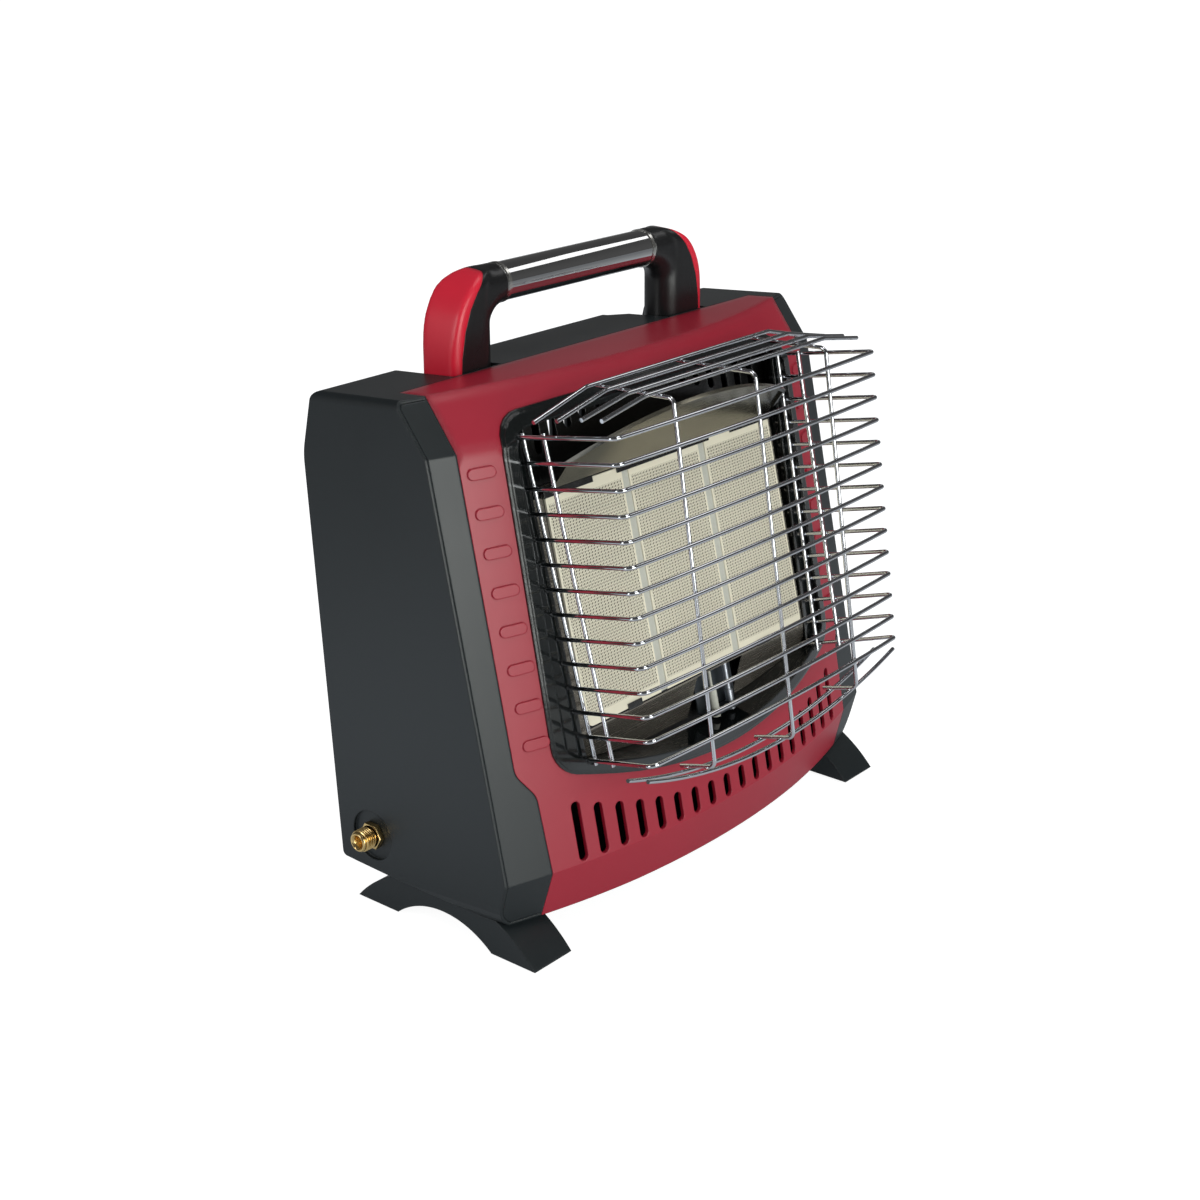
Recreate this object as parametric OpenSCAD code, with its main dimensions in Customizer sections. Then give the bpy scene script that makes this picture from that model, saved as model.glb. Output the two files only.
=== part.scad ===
// Portable radiant gas heater: moulded housing, ceramic burner behind a wire
// guard, folding handle, two arched feet, gas inlet on one side and control
// knob on the other. Millimetres, +Z up, front towards -Y, X = 0 in the middle.

/* [Housing] */
// Width of the black band beside the coloured panel
band_w = 17.4; // [16:0.1:18.5]
// Height of the rear top edge above the ground
top_z = 300.8; // [298:0.2:306]
// Wall of the rear shell
wall_t = 2.8; // [2.4:0.2:3.2]
// Radius of the lower corners
corner_r = 16; // [12:1:18]
// Radius of the upper corners
top_r = 5; // [3:0.5:7]
// Lip of the rear shell round the front frame
lip_t = 1.6; // [1.4:0.1:1.8]
// Gap between neighbouring mouldings
seam = 0.3; // [0.2:0.05:0.4]

/* [Front panel] */
// Width of the coloured panel beside the window rim
cheek_w = 24.2; // [23:0.1:25]
// Thickness of the coloured panel
panel_t = 2.4; // [2:0.2:2.8]
// Air slots on each side of the middle
slot_n = 9; // [5:1:9]
// Distance from slot to slot
slot_pitch = 14.3; // [13:0.1:14.5]
// Width of an air slot
slot_w = 6; // [4:0.5:7]
// Raised ribs on each side of the window
rib_n = 8; // [4:1:8]
// Distance from rib to rib
rib_pitch = 20.85; // [16:0.05:21]
// Length of a rib
rib_l = 16; // [12:1:17]
// Height of a rib
rib_h = 6; // [4:0.5:8]
// How far a rib stands out of the panel
rib_raise = 1.1; // [0.6:0.1:1.4]

/* [Window] */
// Width of the window beside the burner
burner_side = 27.8; // [27:0.1:29]
// Top of the window rim in the middle
window_top = 297; // [296:0.5:298]
// Height of the window below the burner
sill_space = 38.6; // [37:0.1:40]
// Width of the rolled rim
rim_w = 8; // [7:0.5:9]
// Thickness of the heat plate and reflector sheets
sheet_t = 1; // [0.8:0.1:1.2]
// Heat slots on each side of the middle
heat_slot_n = 9; // [5:1:9]
// Width of a heat slot
heat_slot_w = 6; // [4:0.5:7]

/* [Burner] */
// Width of a ceramic tile
tile_w = 64; // [60:0.5:66]
// Height of a ceramic tile
tile_h = 131.5; // [120:0.5:132]
// Thickness of a ceramic tile
tile_t = 13; // [12:0.5:14]
// Width of the joint between two tiles
joint_w = 5.8; // [5:0.1:6.4]
// Lean of the burner
burner_lean = 13.3; // [12.5:0.1:14]
// Set-back of the burner's top edge from the front
burner_back = 17.7; // [16.5:0.1:18.5]

/* [Guard] */
// Diameter of the guard wire
wire_d = 2.4; // [2:0.1:2.8]
// Number of horizontal guard wires
bar_n = 14; // [8:1:15]
// Distance of the guard's bends from the window rim's outer edge
guard_side = 10.7; // [10:0.1:12]
// Bend radius of the guard wire
bend_r = 4; // [3.5:0.5:5]

/* [Handle] */
// Diameter of the grip tube
grip_d = 21.6; // [20:0.2:22]
// Height of the grip's axis
grip_z = 345.8; // [342:0.2:348]
// Half length of the bare grip
grip_x = 64; // [58:1:66]
// Width of a handle arm
arm_w = 36.5; // [35:0.5:38]
// Depth of a handle arm
arm_depth = 25; // [23:0.5:25]
// Diameter of the pivot pins
pin_d = 6; // [5:0.5:7]

/* [Feet] */
// Width of a foot
foot_w = 30.2; // [27:0.2:31]
// Radius over a foot's arch
foot_r = 91; // [89:0.5:92]
// Radius under a foot's arch
arch_r = 56.3; // [54:0.1:58]
// Height of a foot's arch
arch_h = 14.2; // [13:0.1:15]

/* [Gas] */
// Outer diameter of the inlet thread
thread_d = 13.16; // [12.5:0.01:13.6]
// How far the inlet stands out of the side wall
inlet_out = 11.8; // [9:0.1:13]
// Diameter of the control knob
knob_d = 44; // [38:1:46]
// Travel of the knob when pressed
knob_travel = 4; // [3:0.5:4.5]

/* [Hidden] */
$fn = 64;

// Colours
c_black = [0.16, 0.17, 0.17];
c_red = [0.66, 0.12, 0.17];
c_dark = [0.08, 0.08, 0.08];
c_chrome = [0.8, 0.8, 0.82];
c_brass = [0.78, 0.62, 0.3];
c_steel = [0.6, 0.6, 0.6];
c_tile = [0.86, 0.83, 0.72];

// Depths d are measured forwards from the housing's rear top edge
rear_y = 91.03;
function fy(d) = rear_y - d;

// Widths from the burner outwards
burner_x = 1.5 * tile_w + joint_w;
window_x = burner_x + burner_side;
panel_x = window_x + cheek_w;
half_w = panel_x + band_w;
guard_x = window_x - guard_side;

// Housing form
top_rise = 0.0774;
top_angle = atan(top_rise);
function top_at(d) = top_z + top_rise * d;
axis_d = -380;
chin_z = 48.8;
chin_r = 537;
brow_z = 278;
brow_r = 491.1;
rear_top_d = -3.2;
rear_kink = [-11.6, 265.5];
rear_low = [2.1, 27];
floor_end = [220, 17];
function floor_at(d) = mix(rear_low.y, floor_end.y, (d - rear_low.x) / (floor_end.x - rear_low.x));
function rear_at(z) = mix(rear_low.x, rear_kink.x, (z - rear_low.y) / (rear_kink.y - rear_low.y));
function mix(a, b, t) = a + (b - a) * t;
face_slope = (chin_r - brow_r) / (brow_z - chin_z);
function face_r(z) = z < chin_z ? chin_r - (chin_z - z) * 0.25
    : z < brow_z ? chin_r - (z - chin_z) * face_slope
    : brow_r - (z - brow_z) * 0.72;
function face_d(x, z) = sqrt(pow(face_r(z), 2) - x * x) + axis_d;

// One corner of an outline, cut round by an arc of radius r in n steps
function corner(a, b, c, r, n) = r <= 0 ? [b] :
    let (u = (a - b) / norm(a - b), v = (c - b) / norm(c - b))
    let (half = acos(u * v) / 2, m = (u + v) / norm(u + v))
    let (o = b + m * r / sin(half), t = r / tan(half))
    let (p = b + u * t - o, q = b + v * t - o)
    let (a0 = atan2(p.y, p.x), turn = (atan2(q.y, q.x) - a0 + 540) % 360 - 180)
    [for (k = [0:n]) o + r * [cos(a0 + turn * k / n), sin(a0 + turn * k / n)]];
function rounded(pts, radii, n = 6) = let (m = len(pts))
    [for (i = [0:m - 1]) each corner(pts[(i + m - 1) % m], pts[i], pts[(i + 1) % m], radii[i], n)];
function mirrored(pts) = [for (i = [len(pts) - 1:-1:0]) [-pts[i].x, pts[i].y]];
function both_sides(pts) = concat(pts, mirrored(pts));

// Outline in X and Z pushed through the whole depth
module through(depth = 260, from = -20) {
    translate([0, fy(from), 0]) rotate([90, 0, 0]) linear_extrude(depth) children();
}

// Outline in Y and Z pushed through a width centred on X = 0
module across(width) {
    translate([-width / 2, 0, 0]) rotate([90, 0, 90]) linear_extrude(width) children();
}

// Rod between two points
module rod(a, b, r) {
    v = b - a;
    translate(a) rotate([0, acos(v.z / norm(v)), atan2(v.y, v.x)]) cylinder(h = norm(v), r = r);
}

// Bent wire in the XY plane through the points given, with bends of radius rc
module bent_wire(pts, rc, r) {
    n = len(pts);
    function trim(i, j) = let (u = (pts[j] - pts[i]) / norm(pts[j] - pts[i]))
        (i == 0 || i == n - 1) ? pts[i] : pts[i] + u * (bend_run(i) - 0.2);
    function bend_run(i) = let (u = pts[i - 1] - pts[i], v = pts[i + 1] - pts[i])
        rc / tan(acos(u * v / norm(u) / norm(v)) / 2);
    function flat(p) = [p.x, p.y, 0];
    for (i = [0:n - 2]) rod(flat(trim(i, i + 1)), flat(trim(i + 1, i)), r);
    for (i = [1:n - 2]) wire_bend(pts[i - 1], pts[i], pts[i + 1], rc, r);
}

// Torus piece that rounds the corner b of the path a, b, c
module wire_bend(a, b, c, rc, r) {
    u = (a - b) / norm(a - b);
    v = (c - b) / norm(c - b);
    half = acos(u * v) / 2;
    m = (u + v) / norm(u + v);
    o = b + m * rc / sin(half);
    p = b + u * rc / tan(half) - o;
    q = b + v * rc / tan(half) - o;
    turn = (atan2(q.y, q.x) - atan2(p.y, p.x) + 540) % 360 - 180;
    start = turn > 0 ? atan2(p.y, p.x) : atan2(q.y, q.x);
    translate([o.x, o.y, 0]) rotate([0, 0, start])
        rotate_extrude(angle = abs(turn)) translate([rc, 0]) circle(r + 0.02);
}

// Housing solid, set in by i on every side
function side_outline(i) = rounded([
    [fy(rear_top_d + i), top_at(rear_top_d) - i],
    [fy(rear_kink.x + i), rear_kink.y],
    [fy(rear_low.x + i), rear_low.y + i],
    [fy(floor_end.x), floor_end.y + i],
    [fy(floor_end.x), top_at(floor_end.x) - i]],
    [max(top_r + 1 - i, 1), 40 - i, max(3 - i, 1), 0, 0]);
function front_outline(i) = rounded([
    [half_w - i, 9.3 + i],
    [half_w - i, top_z + 0.2 - i],
    [-half_w + i, top_z + 0.2 - i],
    [-half_w + i, 9.3 + i]],
    [corner_r - i, max(top_r - i, 1), max(top_r - i, 1), corner_r - i]);

module body_solid(i = 0) {
    intersection() {
        body_form(i);
        face_drum(-i);
    }
}
module body_form(i) {
    intersection() {
        across(2 * half_w + 10) polygon(side_outline(i));
        translate([0, fy(0), 0]) rotate([90 - top_angle, 0, 0]) translate([0, 0, -20])
            linear_extrude(260) scale([1, cos(top_angle)]) polygon(front_outline(i));
    }
}

// Drum whose surface is the bowed front, grown by g
module face_drum(g = 0) {
    translate([0, fy(axis_d), 0]) rotate_extrude($fn = 256)
        polygon([[0, -10], [face_r(-10) + g, -10], [chin_r + g, chin_z],
            [brow_r + g, brow_z], [face_r(330) + g, 330], [0, 330]]);
}

// Coloured panel's outline, grown by g
module panel_outline(g = 0) {
    polygon(both_sides(rounded([
        [panel_x + g, 340],
        [panel_x + g, 107],
        [panel_x - 10.2 + g, 93],
        [panel_x - 11.6 + g, chin_z],
        [panel_x - 9 + g, 0]],
        [0, 12, 12, 20, 0])));
}

// Window outline, set in by i: flat sides, crowned top, bowed bottom
burner_top_z = 247.2;
burner_top_d = face_d(0, burner_top_z) - burner_back;
window_bottom = burner_top_z - tile_h * cos(burner_lean) - sill_space;
slot_z = window_bottom - 30.6;
sill_rise = 16.4;
function sill_at(x) = window_bottom + sill_rise * pow(x / 112, 2);
function window_half(i) = rounded(concat(
    [for (x = [7:14:105]) [x, sill_at(x) + i]],
    [[window_x - i + 1.5, sill_at(128) + i],
    [window_x - i - 1, window_top - 4.5 - i],
    [82, window_top - 1.8 - i],
    [42, window_top - 0.5 - i],
    [12, window_top - i]]),
    [0, 0, 0, 0, 0, 0, 0, 0, 18 - i, 20 - i, 0, 0, 0]);
module window_hole(i) {
    through() polygon(both_sides(window_half(i)));
}

// Pivot, inlet and knob places
pivot_d = 32;
pivot_z = 288;
inlet_d = 27.1;
inlet_z = 47.3;
inlet_recess_r = 15;
inlet_recess = 2;
knob_pos_d = 52;
knob_pos_z = 80;
knob_recess_r = knob_d / 2 + 3;
knob_recess = knob_travel + 4;
knob_out = inlet_out;
thread_r = thread_d / 2;
bushing_r = 8;

// Handle channels, open at the top and the rear
arm_x0 = 74.8;
arm_x1 = arm_x0 + arm_w;
channel_x0 = arm_x0 - seam;
channel_x1 = arm_x1 + seam;
channel_d = pivot_d + arm_depth / 2 + seam;
channel_z = pivot_z - arm_depth / 2 - 1.5;
module channel_outline(g) {
    polygon([[channel_x0 - g, fy(channel_d + g)], [channel_x1 + g, fy(channel_d + g)],
        [channel_x1 + g, fy(-20)], [channel_x0 - 8.5 - g, fy(-20)],
        [channel_x0 - 8.5 - g, fy(4)], [channel_x0 - g, fy(14)]]);
}
module channel(side, g = 0) {
    mirror([side < 0 ? 1 : 0, 0, 0]) translate([0, 0, channel_z - g])
        linear_extrude(60) channel_outline(g);
}

// Fasteners
screw_r = 2;
boss_r = 5;
foot_x = half_w - 19.6;
foot_d = 77;
foot_screw_ds = [60, 94];

shell_screw_x = half_w - 13.2;
shell_screw_places = [for (s = [-1, 1]) for (z = [125, 250]) [s * shell_screw_x, z]];

// Everything inside the coloured panel's skin: below its top, behind its face
frame_t = 6;
flange_d = channel_d + 1.7;
module panel_core(g) {
    intersection() {
        face_drum(-panel_t - g);
        translate([0, 0, -panel_t - g]) body_under_top();
    }
}

// Room for the coloured panel: its outline less the core that it covers
module panel_room(g) {
    difference() {
        through(260, flange_d - g) panel_outline(g);
        panel_core(g);
    }
}

// Everything below the sloping top
module body_under_top() {
    across(2 * half_w + 60)
        polygon([[fy(-40), -60], [fy(250), -60], [fy(250), top_at(250)], [fy(-40), top_at(-40)]]);
}

module rear_shell() {
    color(c_black) difference() {
        body_solid();
        difference() {
            body_form(lip_t);
            face_drum(-frame_t - seam);
        }
        difference() {
            body_solid(wall_t);
            for (s = [-1, 1]) channel_wall(s);
            for (s = [-1, 1]) wall_socket(s);
            flange_ledge();
            foot_bosses();
        }
        for (s = [-1, 1]) channel(s);
        panel_room(seam);
        louvres();
        side_holes();
        pin_holes();
        foot_screw_holes();
        shell_screw_holes();
    }
}

module channel_wall(side) {
    intersection() {
        channel(side, wall_t);
        translate([-half_w, fy(channel_d + wall_t), channel_z - wall_t]) cube([2 * half_w, 80, 60]);
    }
}

// Ledge under the coloured panel's rear edge
module flange_ledge() {
    intersection() {
        difference() {
            translate([0, 0, -panel_t - seam]) body_under_top();
            translate([0, 0, -panel_t - seam - 2.2]) body_under_top();
        }
        translate([-panel_x + 4, fy(flange_d + 8), 200]) cube([2 * panel_x - 8, 8 + wall_t, 120]);
    }
}

// Thickened seat behind the inlet and around the knob
module wall_socket(side) {
    r = side < 0 ? inlet_recess_r : knob_recess_r;
    deep = side < 0 ? inlet_recess : knob_recess;
    d = side < 0 ? inlet_d : knob_pos_d;
    z = side < 0 ? inlet_z : knob_pos_z;
    translate([side * half_w, fy(d), z]) rotate([0, -side * 90, 0])
        cylinder(h = deep + wall_t, r = r + wall_t);
}

module side_holes() {
    translate([-half_w - 1, fy(inlet_d), inlet_z]) rotate([0, 90, 0])
        cylinder(h = inlet_recess + 1, r = inlet_recess_r);
    translate([-half_w - 1, fy(inlet_d), inlet_z]) rotate([0, 90, 0])
        cylinder(h = 20, r = thread_r + 0.2);
    translate([half_w + 1, fy(knob_pos_d), knob_pos_z]) rotate([0, -90, 0])
        cylinder(h = knob_recess + 1, r = knob_recess_r);
    translate([half_w + 1, fy(knob_pos_d), knob_pos_z]) rotate([0, -90, 0])
        cylinder(h = 20, r = bushing_r + 0.2);
}

// Air louvres in the rear wall: two rows of upright slots low down, one high up
module louvres() {
    for (s = [-1, 1]) for (k = [0:6]) translate([s * (24 + 14 * k), fy(8), 0]) {
        louvre_slot(60, 96);
        louvre_slot(214, 244);
    }
}
module louvre_slot(z0, z1) {
    rotate([90, 0, 0]) translate([0, 0, -30]) linear_extrude(40) {
        translate([0, z0]) circle(2.5);
        translate([0, z1]) circle(2.5);
        translate([-2.5, z0]) square([5, z1 - z0]);
    }
}

module pin_holes() {
    for (s = [-1, 1]) translate([s * (channel_x0 - 12), fy(pivot_d), pivot_z])
        rotate([0, s * 90, 0]) cylinder(h = channel_x1 - channel_x0 + 24, r = pin_d / 2 + 0.02);
}

// Screw bosses inside the floor, above the feet
module foot_bosses() {
    for (s = [-1, 1]) for (d = foot_screw_ds) translate([s * foot_x, fy(d), 10])
        cylinder(h = 34, r = boss_r);
}
module foot_screw_holes() {
    for (s = [-1, 1]) for (d = foot_screw_ds) translate([s * foot_x, fy(d), 0])
        cylinder(h = 40, r = screw_r + 0.05);
}
module shell_screw_holes() {
    for (p = shell_screw_places) translate([p.x, fy(rear_at(p.y) - 6), p.y]) rotate([90, 0, 0])
        cylinder(h = 12, r = screw_r + 0.2);
}

// Frame behind the coloured panel, with the black bands beside it and the
// columns that the rear screws run into
function boss_d(z) = rear_at(z) + wall_t + 2 * seam;
module front_frame() {
    color(c_black) {
        difference() {
            intersection() {
                body_form(lip_t + seam);
                face_drum();
            }
            face_drum(-frame_t);
            panel_room(seam);
            through() intersection() {
                panel_outline(-9);
                translate([-half_w, slot_z - 10]) square([2 * half_w, window_top + 9 - slot_z]);
            }
        }
        difference() {
            for (p = shell_screw_places) translate([p.x, fy(boss_d(p.y)), p.y]) rotate([90, 0, 0])
                cylinder(h = face_d(abs(p.x) + boss_r, p.y + boss_r) - boss_d(p.y) - 2, r = boss_r);
            for (p = shell_screw_places) translate([p.x, fy(boss_d(p.y) - 1), p.y]) rotate([90, 0, 0])
                cylinder(h = 18, r = screw_r + 0.05);
        }
    }
}

module front_panel() {
    color(c_red) difference() {
        union() {
            difference() {
                intersection() {
                    body_solid();
                    through(260, flange_d) panel_outline();
                }
                panel_core(0);
            }
            ribs();
        }
        window_hole(3);
        air_slots();
    }
}

// Row of upright air slots under the window; their tops follow the sill
module air_slots() {
    through() for (s = [-1, 1]) for (k = [0:slot_n - 1]) {
        x = (k + 0.5) * slot_pitch;
        top = slot_z + 13.7 + 20 * pow(x / 121.5, 2);
        translate([s * x, slot_z + slot_w / 2]) circle(slot_w / 2, $fn = 32);
        translate([s * x, top - slot_w / 2]) circle(slot_w / 2, $fn = 32);
        translate([s * x - slot_w / 2, slot_z + slot_w / 2]) square([slot_w, top - slot_z - slot_w]);
    }
}

// Rows of raised round-ended ribs beside the window
rib_top = 267.1;
module ribs() {
    intersection() {
        face_drum(rib_raise);
        through() for (s = [-1, 1]) for (k = [0:rib_n - 1])
            translate([s * (panel_x - 11.3 - 0.5 * k), rib_top - rib_pitch * k]) {
                for (e = [-1, 1]) translate([e * (rib_l - rib_h) / 2, 0]) circle(rib_h / 2, $fn = 32);
                square([rib_l - rib_h, rib_h], center = true);
            }
        difference() {
            face_drum(20);
            face_drum(-1);
        }
    }
}

// Burner plane: origin at the middle of the tiles' top edge, v runs up the
// leaning face and w stands out of it towards the front
module on_burner() {
    translate([0, fy(burner_top_d), burner_top_z]) rotate([90 - burner_lean, 0, 0]) children();
}
plate_w = -14;

// Glossy rim rolled over the coloured panel, a wall back to the heat plate and
// a flange on each side with holes for the guard's ends
module window_bezel() {
    color(c_dark) difference() {
        union() {
            window_rim();
            window_wall();
            leg_flange();
        }
        for (i = [0:bar_n - 1])
            guard_legs(i / (bar_n - 1), wire_r + 0.3, i == 0 || i == bar_n - 1 ? 14 : 8);
    }
}
module window_rim() {
    difference() {
        union() {
            intersection() {
                face_drum(1.2);
                window_hole(0);
            }
            intersection() {
                face_drum(2);
                window_hole(1.5);
            }
        }
        face_drum(0.05);
        window_hole(rim_w);
    }
}
module window_wall() {
    difference() {
        intersection() {
            face_drum(0.6);
            window_hole(3.3);
        }
        window_hole(3.3 + bezel_t);
        on_burner() translate([-200, -300, plate_w - 240]) cube([400, 600, 240]);
    }
}
module leg_flange() {
    difference() {
        intersection() {
            face_drum(-flange_in);
            window_hole(4.5);
        }
        face_drum(-flange_in - 1.6);
        through() polygon(both_sides([[leg_x_top - 3, 400],
            [leg_x_top - 3, guard_top.y], [leg_x_low - 3, leg_low.y - 8], [leg_x_low - 3, 0]]));
    }
}
bezel_t = 2.2;
flange_in = 3.2;

// Arch that the heat slots stand on, in the burner plane
arch_rise = 34;
slot_arch_r = 212;
function arch_at(x) = arch_rise - slot_arch_r + sqrt(pow(slot_arch_r, 2) - x * x);

module heat_plate() {
    color(c_dark) difference() {
        intersection() {
            window_hole(3.3);
            on_burner() translate([-200, -300, plate_w - sheet_t]) cube([400, 500, sheet_t - 0.05]);
        }
        on_burner() translate([-burner_x - 4, -tile_h - 4, plate_w - 5]) cube([2 * burner_x + 8, tile_h + 6, 10]);
        on_burner() translate([0, 0, plate_w - 5]) linear_extrude(10) heat_slots();
    }
}
module heat_slots() {
    for (s = [-1, 1]) for (k = [0:heat_slot_n - 1]) {
        x = (k + 0.5) * 13;
        top = 43 - 3 * pow(x / 110, 2);
        low = min(arch_at(x) + heat_slot_w / 2 + 2, top - 3);
        translate([s * x, low]) circle(heat_slot_w / 2, $fn = 32);
        translate([s * x, top]) circle(heat_slot_w / 2, $fn = 32);
        translate([s * x - heat_slot_w / 2, low]) square([heat_slot_w, top - low]);
    }
}

// Flared sheet from the tiles' edges back to the heat plate, open at the top
flare_x = 13;
flare_z = 25;
module reflector() {
    color(c_dark) difference() {
        intersection() {
            flare(0, -0.8, plate_w + 0.3);
            window_hole(3.3 + bezel_t + seam);
        }
        flare(-sheet_t, 1.2, plate_w - 1.7);
        on_burner() translate([-200, -2, -60]) cube([400, 100, 100]);
        on_burner() translate([bracket_x - bracket_w / 2 - 4, -tile_h - 60, -60]) cube([bracket_w + 8, 58, 100]);
    }
}
module flare(g, w0, w1) {
    function out(w) = (-0.8 - w) / (-1.1 - plate_w);
    module ring(w) {
        x = burner_x + 1.3 + sheet_t + out(w) * flare_x + g;
        z = tile_h + 1.3 + sheet_t + out(w) * flare_z + g;
        translate([-x, -z, w]) cube([2 * x, z + 20, 0.01]);
    }
    on_burner() hull() {
        ring(w0);
        ring(w1);
    }
}

// Visor of bright sheet that stands forwards out of the burner's top edge,
// arched along its rolled lip
visor_lean = 48;
visor_rise = 46;
visor_side = 24;
visor_half = burner_x - 1.8;
visor_r = (pow(visor_half, 2) + pow(visor_rise - visor_side, 2)) / 2 / (visor_rise - visor_side);
module deflector() {
    color(c_steel) on_burner() intersection() {
        translate([0, 0, -1]) rotate([visor_lean, 0, 0]) {
            visor_sheet(sheet_t, 0);
            difference() {
                visor_sheet(2.4, 0);
                translate([0, 0, -1]) visor_sheet(5, 2);
                translate([-200, -1, -1]) cube([400, visor_side / 2, 5]);
            }
        }
        translate([-200, 1.5, -5]) cube([400, 80, 80]);
    }
}
module visor_sheet(t, i) {
    linear_extrude(t) intersection() {
        translate([0, visor_rise - visor_r]) circle(visor_r - i, $fn = 256);
        translate([-visor_half + i, 0]) square([2 * (visor_half - i), visor_rise + 1]);
    }
}

module burner_box() {
    color(c_steel) on_burner() difference() {
        translate([-burner_x - 1.5, -tile_h - 1.5, -50]) cube([2 * burner_x + 3, tile_h + 3, 50 - tile_t - 0.1]);
        translate([-burner_x + 4, -tile_h + 4, -48.8]) cube([2 * burner_x - 8, tile_h - 8, 60]);
        translate([mix_x, -tile_h + 20, -35]) rotate([90, 0, 0]) cylinder(h = 60, r = mix_r + 0.1);
    }
}
mix_x = 60;
mix_r = 11;

module burner_frame() {
    color(c_dark) on_burner() {
        difference() {
            translate([-burner_x - 1.2, -tile_h - 1.2, -tile_t]) cube([2 * burner_x + 2.4, tile_h + 2.4, tile_t - 1.2]);
            translate([-burner_x - 0.1, -tile_h - 0.1, -tile_t - 1]) cube([2 * burner_x + 0.2, tile_h + 0.2, tile_t + 5]);
        }
        for (c = [[-burner_x - 1.2, -63], [-42, 42], [63, burner_x + 1.2]]) frame_clip(c, 0);
        mirror([0, 1, 0]) for (c = [[-68, -56], [56, 68]]) frame_clip(c, tile_h);
    }
}

// Strip folded over the tiles' edge between two places
module frame_clip(c, v) {
    translate([c[0], v - 2.6, 0.05]) cube([c[1] - c[0], 3.8, 0.8]);
    translate([c[0], v + 0.1, -1.3]) cube([c[1] - c[0], 1.1, 2.15]);
}

module tile(i) {
    r = 4;
    color(c_tile) on_burner() translate([i * (tile_w + joint_w) - tile_w / 2, -tile_h, -tile_t])
        linear_extrude(tile_t) polygon(rounded(
            [[0, 0], [tile_w, 0], [tile_w, tile_h], [0, tile_h]],
            [i < 0 ? r : 0, i > 0 ? r : 0, i > 0 ? r : 0, i < 0 ? r : 0]));
}
module tile_left() { tile(-1); }
module tile_middle() { tile(0); }
module tile_right() { tile(1); }

module tile_joints() {
    color(c_steel) on_burner() for (s = [-1, 1])
        translate([s * (tile_w + joint_w) / 2 - joint_w / 2 + 0.05, -tile_h + 0.2, -tile_t])
            cube([joint_w - 0.1, tile_h - 0.4, tile_t - 0.6]);
}

module mixing_tube() {
    color(c_steel) on_burner() translate([mix_x, 0, -35]) rotate([90, 0, 0]) difference() {
        union() {
            translate([0, 0, tile_h - 16]) cylinder(h = 38, r = mix_r);
            translate([0, 0, tile_h + 14]) cylinder(h = 8, r = mix_r + 2);
        }
        translate([0, 0, tile_h - 20]) cylinder(h = 60, r = mix_r - 1.2);
    }
}

module injector() {
    color(c_brass) on_burner() translate([mix_x, 0, -35]) rotate([90, 0, 0]) difference() {
        union() {
            translate([0, 0, tile_h + 17]) cylinder(h = 6, r = 4);
            translate([0, 0, tile_h + 22.9]) cylinder(h = 7, r = 6.5, $fn = 6);
        }
        translate([0, 0, tile_h + 15]) cylinder(h = 18, r = 0.6, $fn = 24);
    }
}
// Bent pipe through the points given, round at every bend
module pipe(pts, r) {
    for (i = [0:len(pts) - 2]) rod(pts[i], pts[i + 1], r);
    for (i = [1:len(pts) - 2]) translate(pts[i]) sphere(r + 0.5);
}
function at(x, d, z) = [x, fy(d), z];
function burner_at(x, v, w) = [x,
    fy(burner_top_d) + v * sin(burner_lean) - w * cos(burner_lean),
    burner_top_z + v * cos(burner_lean) + w * sin(burner_lean)];

valve_x0 = half_w - 59.2;
valve_x1 = half_w - 21.2;
pipe_x = valve_x0 + 14;
module gas_pipe() {
    start = burner_at(mix_x, -tile_h - 30.2, -35);
    color(c_brass) pipe([start, start - [0, 4, 20], at(pipe_x, knob_pos_d + 1, 50),
        at(pipe_x, knob_pos_d, knob_pos_z - 14.4)], 3);
}

module supply_pipe() {
    color(c_brass) pipe([at(-half_w + 22.2, inlet_d, inlet_z), at(valve_x0 - 24, inlet_d, inlet_z),
        at(valve_x0 - 12, knob_pos_d, knob_pos_z), at(valve_x0 - 0.2, knob_pos_d, knob_pos_z)], 4);
}

// Inlet: threaded nose, hexagon against the recess, stub through the wall
module inlet_fitting() {
    color(c_brass) translate([-half_w - inlet_out, fy(inlet_d), inlet_z]) rotate([0, 90, 0]) difference() {
        union() {
            cylinder(h = inlet_out + 22, r = thread_r);
            translate([0, 0, inlet_out - 4.6]) cylinder(h = 6.5, r = 17 / sqrt(3), $fn = 6);
        }
        translate([0, 0, -1]) cylinder(h = 60, r = 3);
        translate([0, 0, -0.01]) cylinder(h = 2.2, r1 = 5.2, r2 = 3);
    }
}
module inlet_nut() {
    color(c_brass) translate([-half_w + inlet_recess + wall_t + 0.1, fy(inlet_d), inlet_z]) rotate([0, 90, 0])
        difference() {
            cylinder(h = 5, r = 19 / sqrt(3), $fn = 6);
            translate([0, 0, -1]) cylinder(h = 8, r = thread_r + 0.05);
        }
}

// Valve on the knob's axis, with a bushing through the side wall
module on_knob(x) {
    translate([x, fy(knob_pos_d), knob_pos_z]) rotate([0, 90, 0]) children();
}
spindle_r = 3;
plunger_r = 3.5;
plunger_x = valve_x0 + 26;
knob_base = half_w + knob_out - 14;
module valve_body() {
    color(c_brass) difference() {
        union() {
            translate([valve_x0, fy(knob_pos_d + 14), knob_pos_z - 14]) cube([valve_x1 - valve_x0, 28, 28]);
            on_knob(valve_x1 - 0.1) cylinder(h = half_w - knob_recess + 0.3 - valve_x1, r = bushing_r);
        }
        on_knob(valve_x0 + 6) cylinder(h = plunger_x + 1 - valve_x0 - 6, r = plunger_r + 0.05);
        on_knob(plunger_x) cylinder(h = 60, r = spindle_r + 0.05);
    }
}
module valve_plunger() {
    color(c_steel) on_knob(plunger_x - 14) cylinder(h = 14, r = plunger_r);
}
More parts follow.
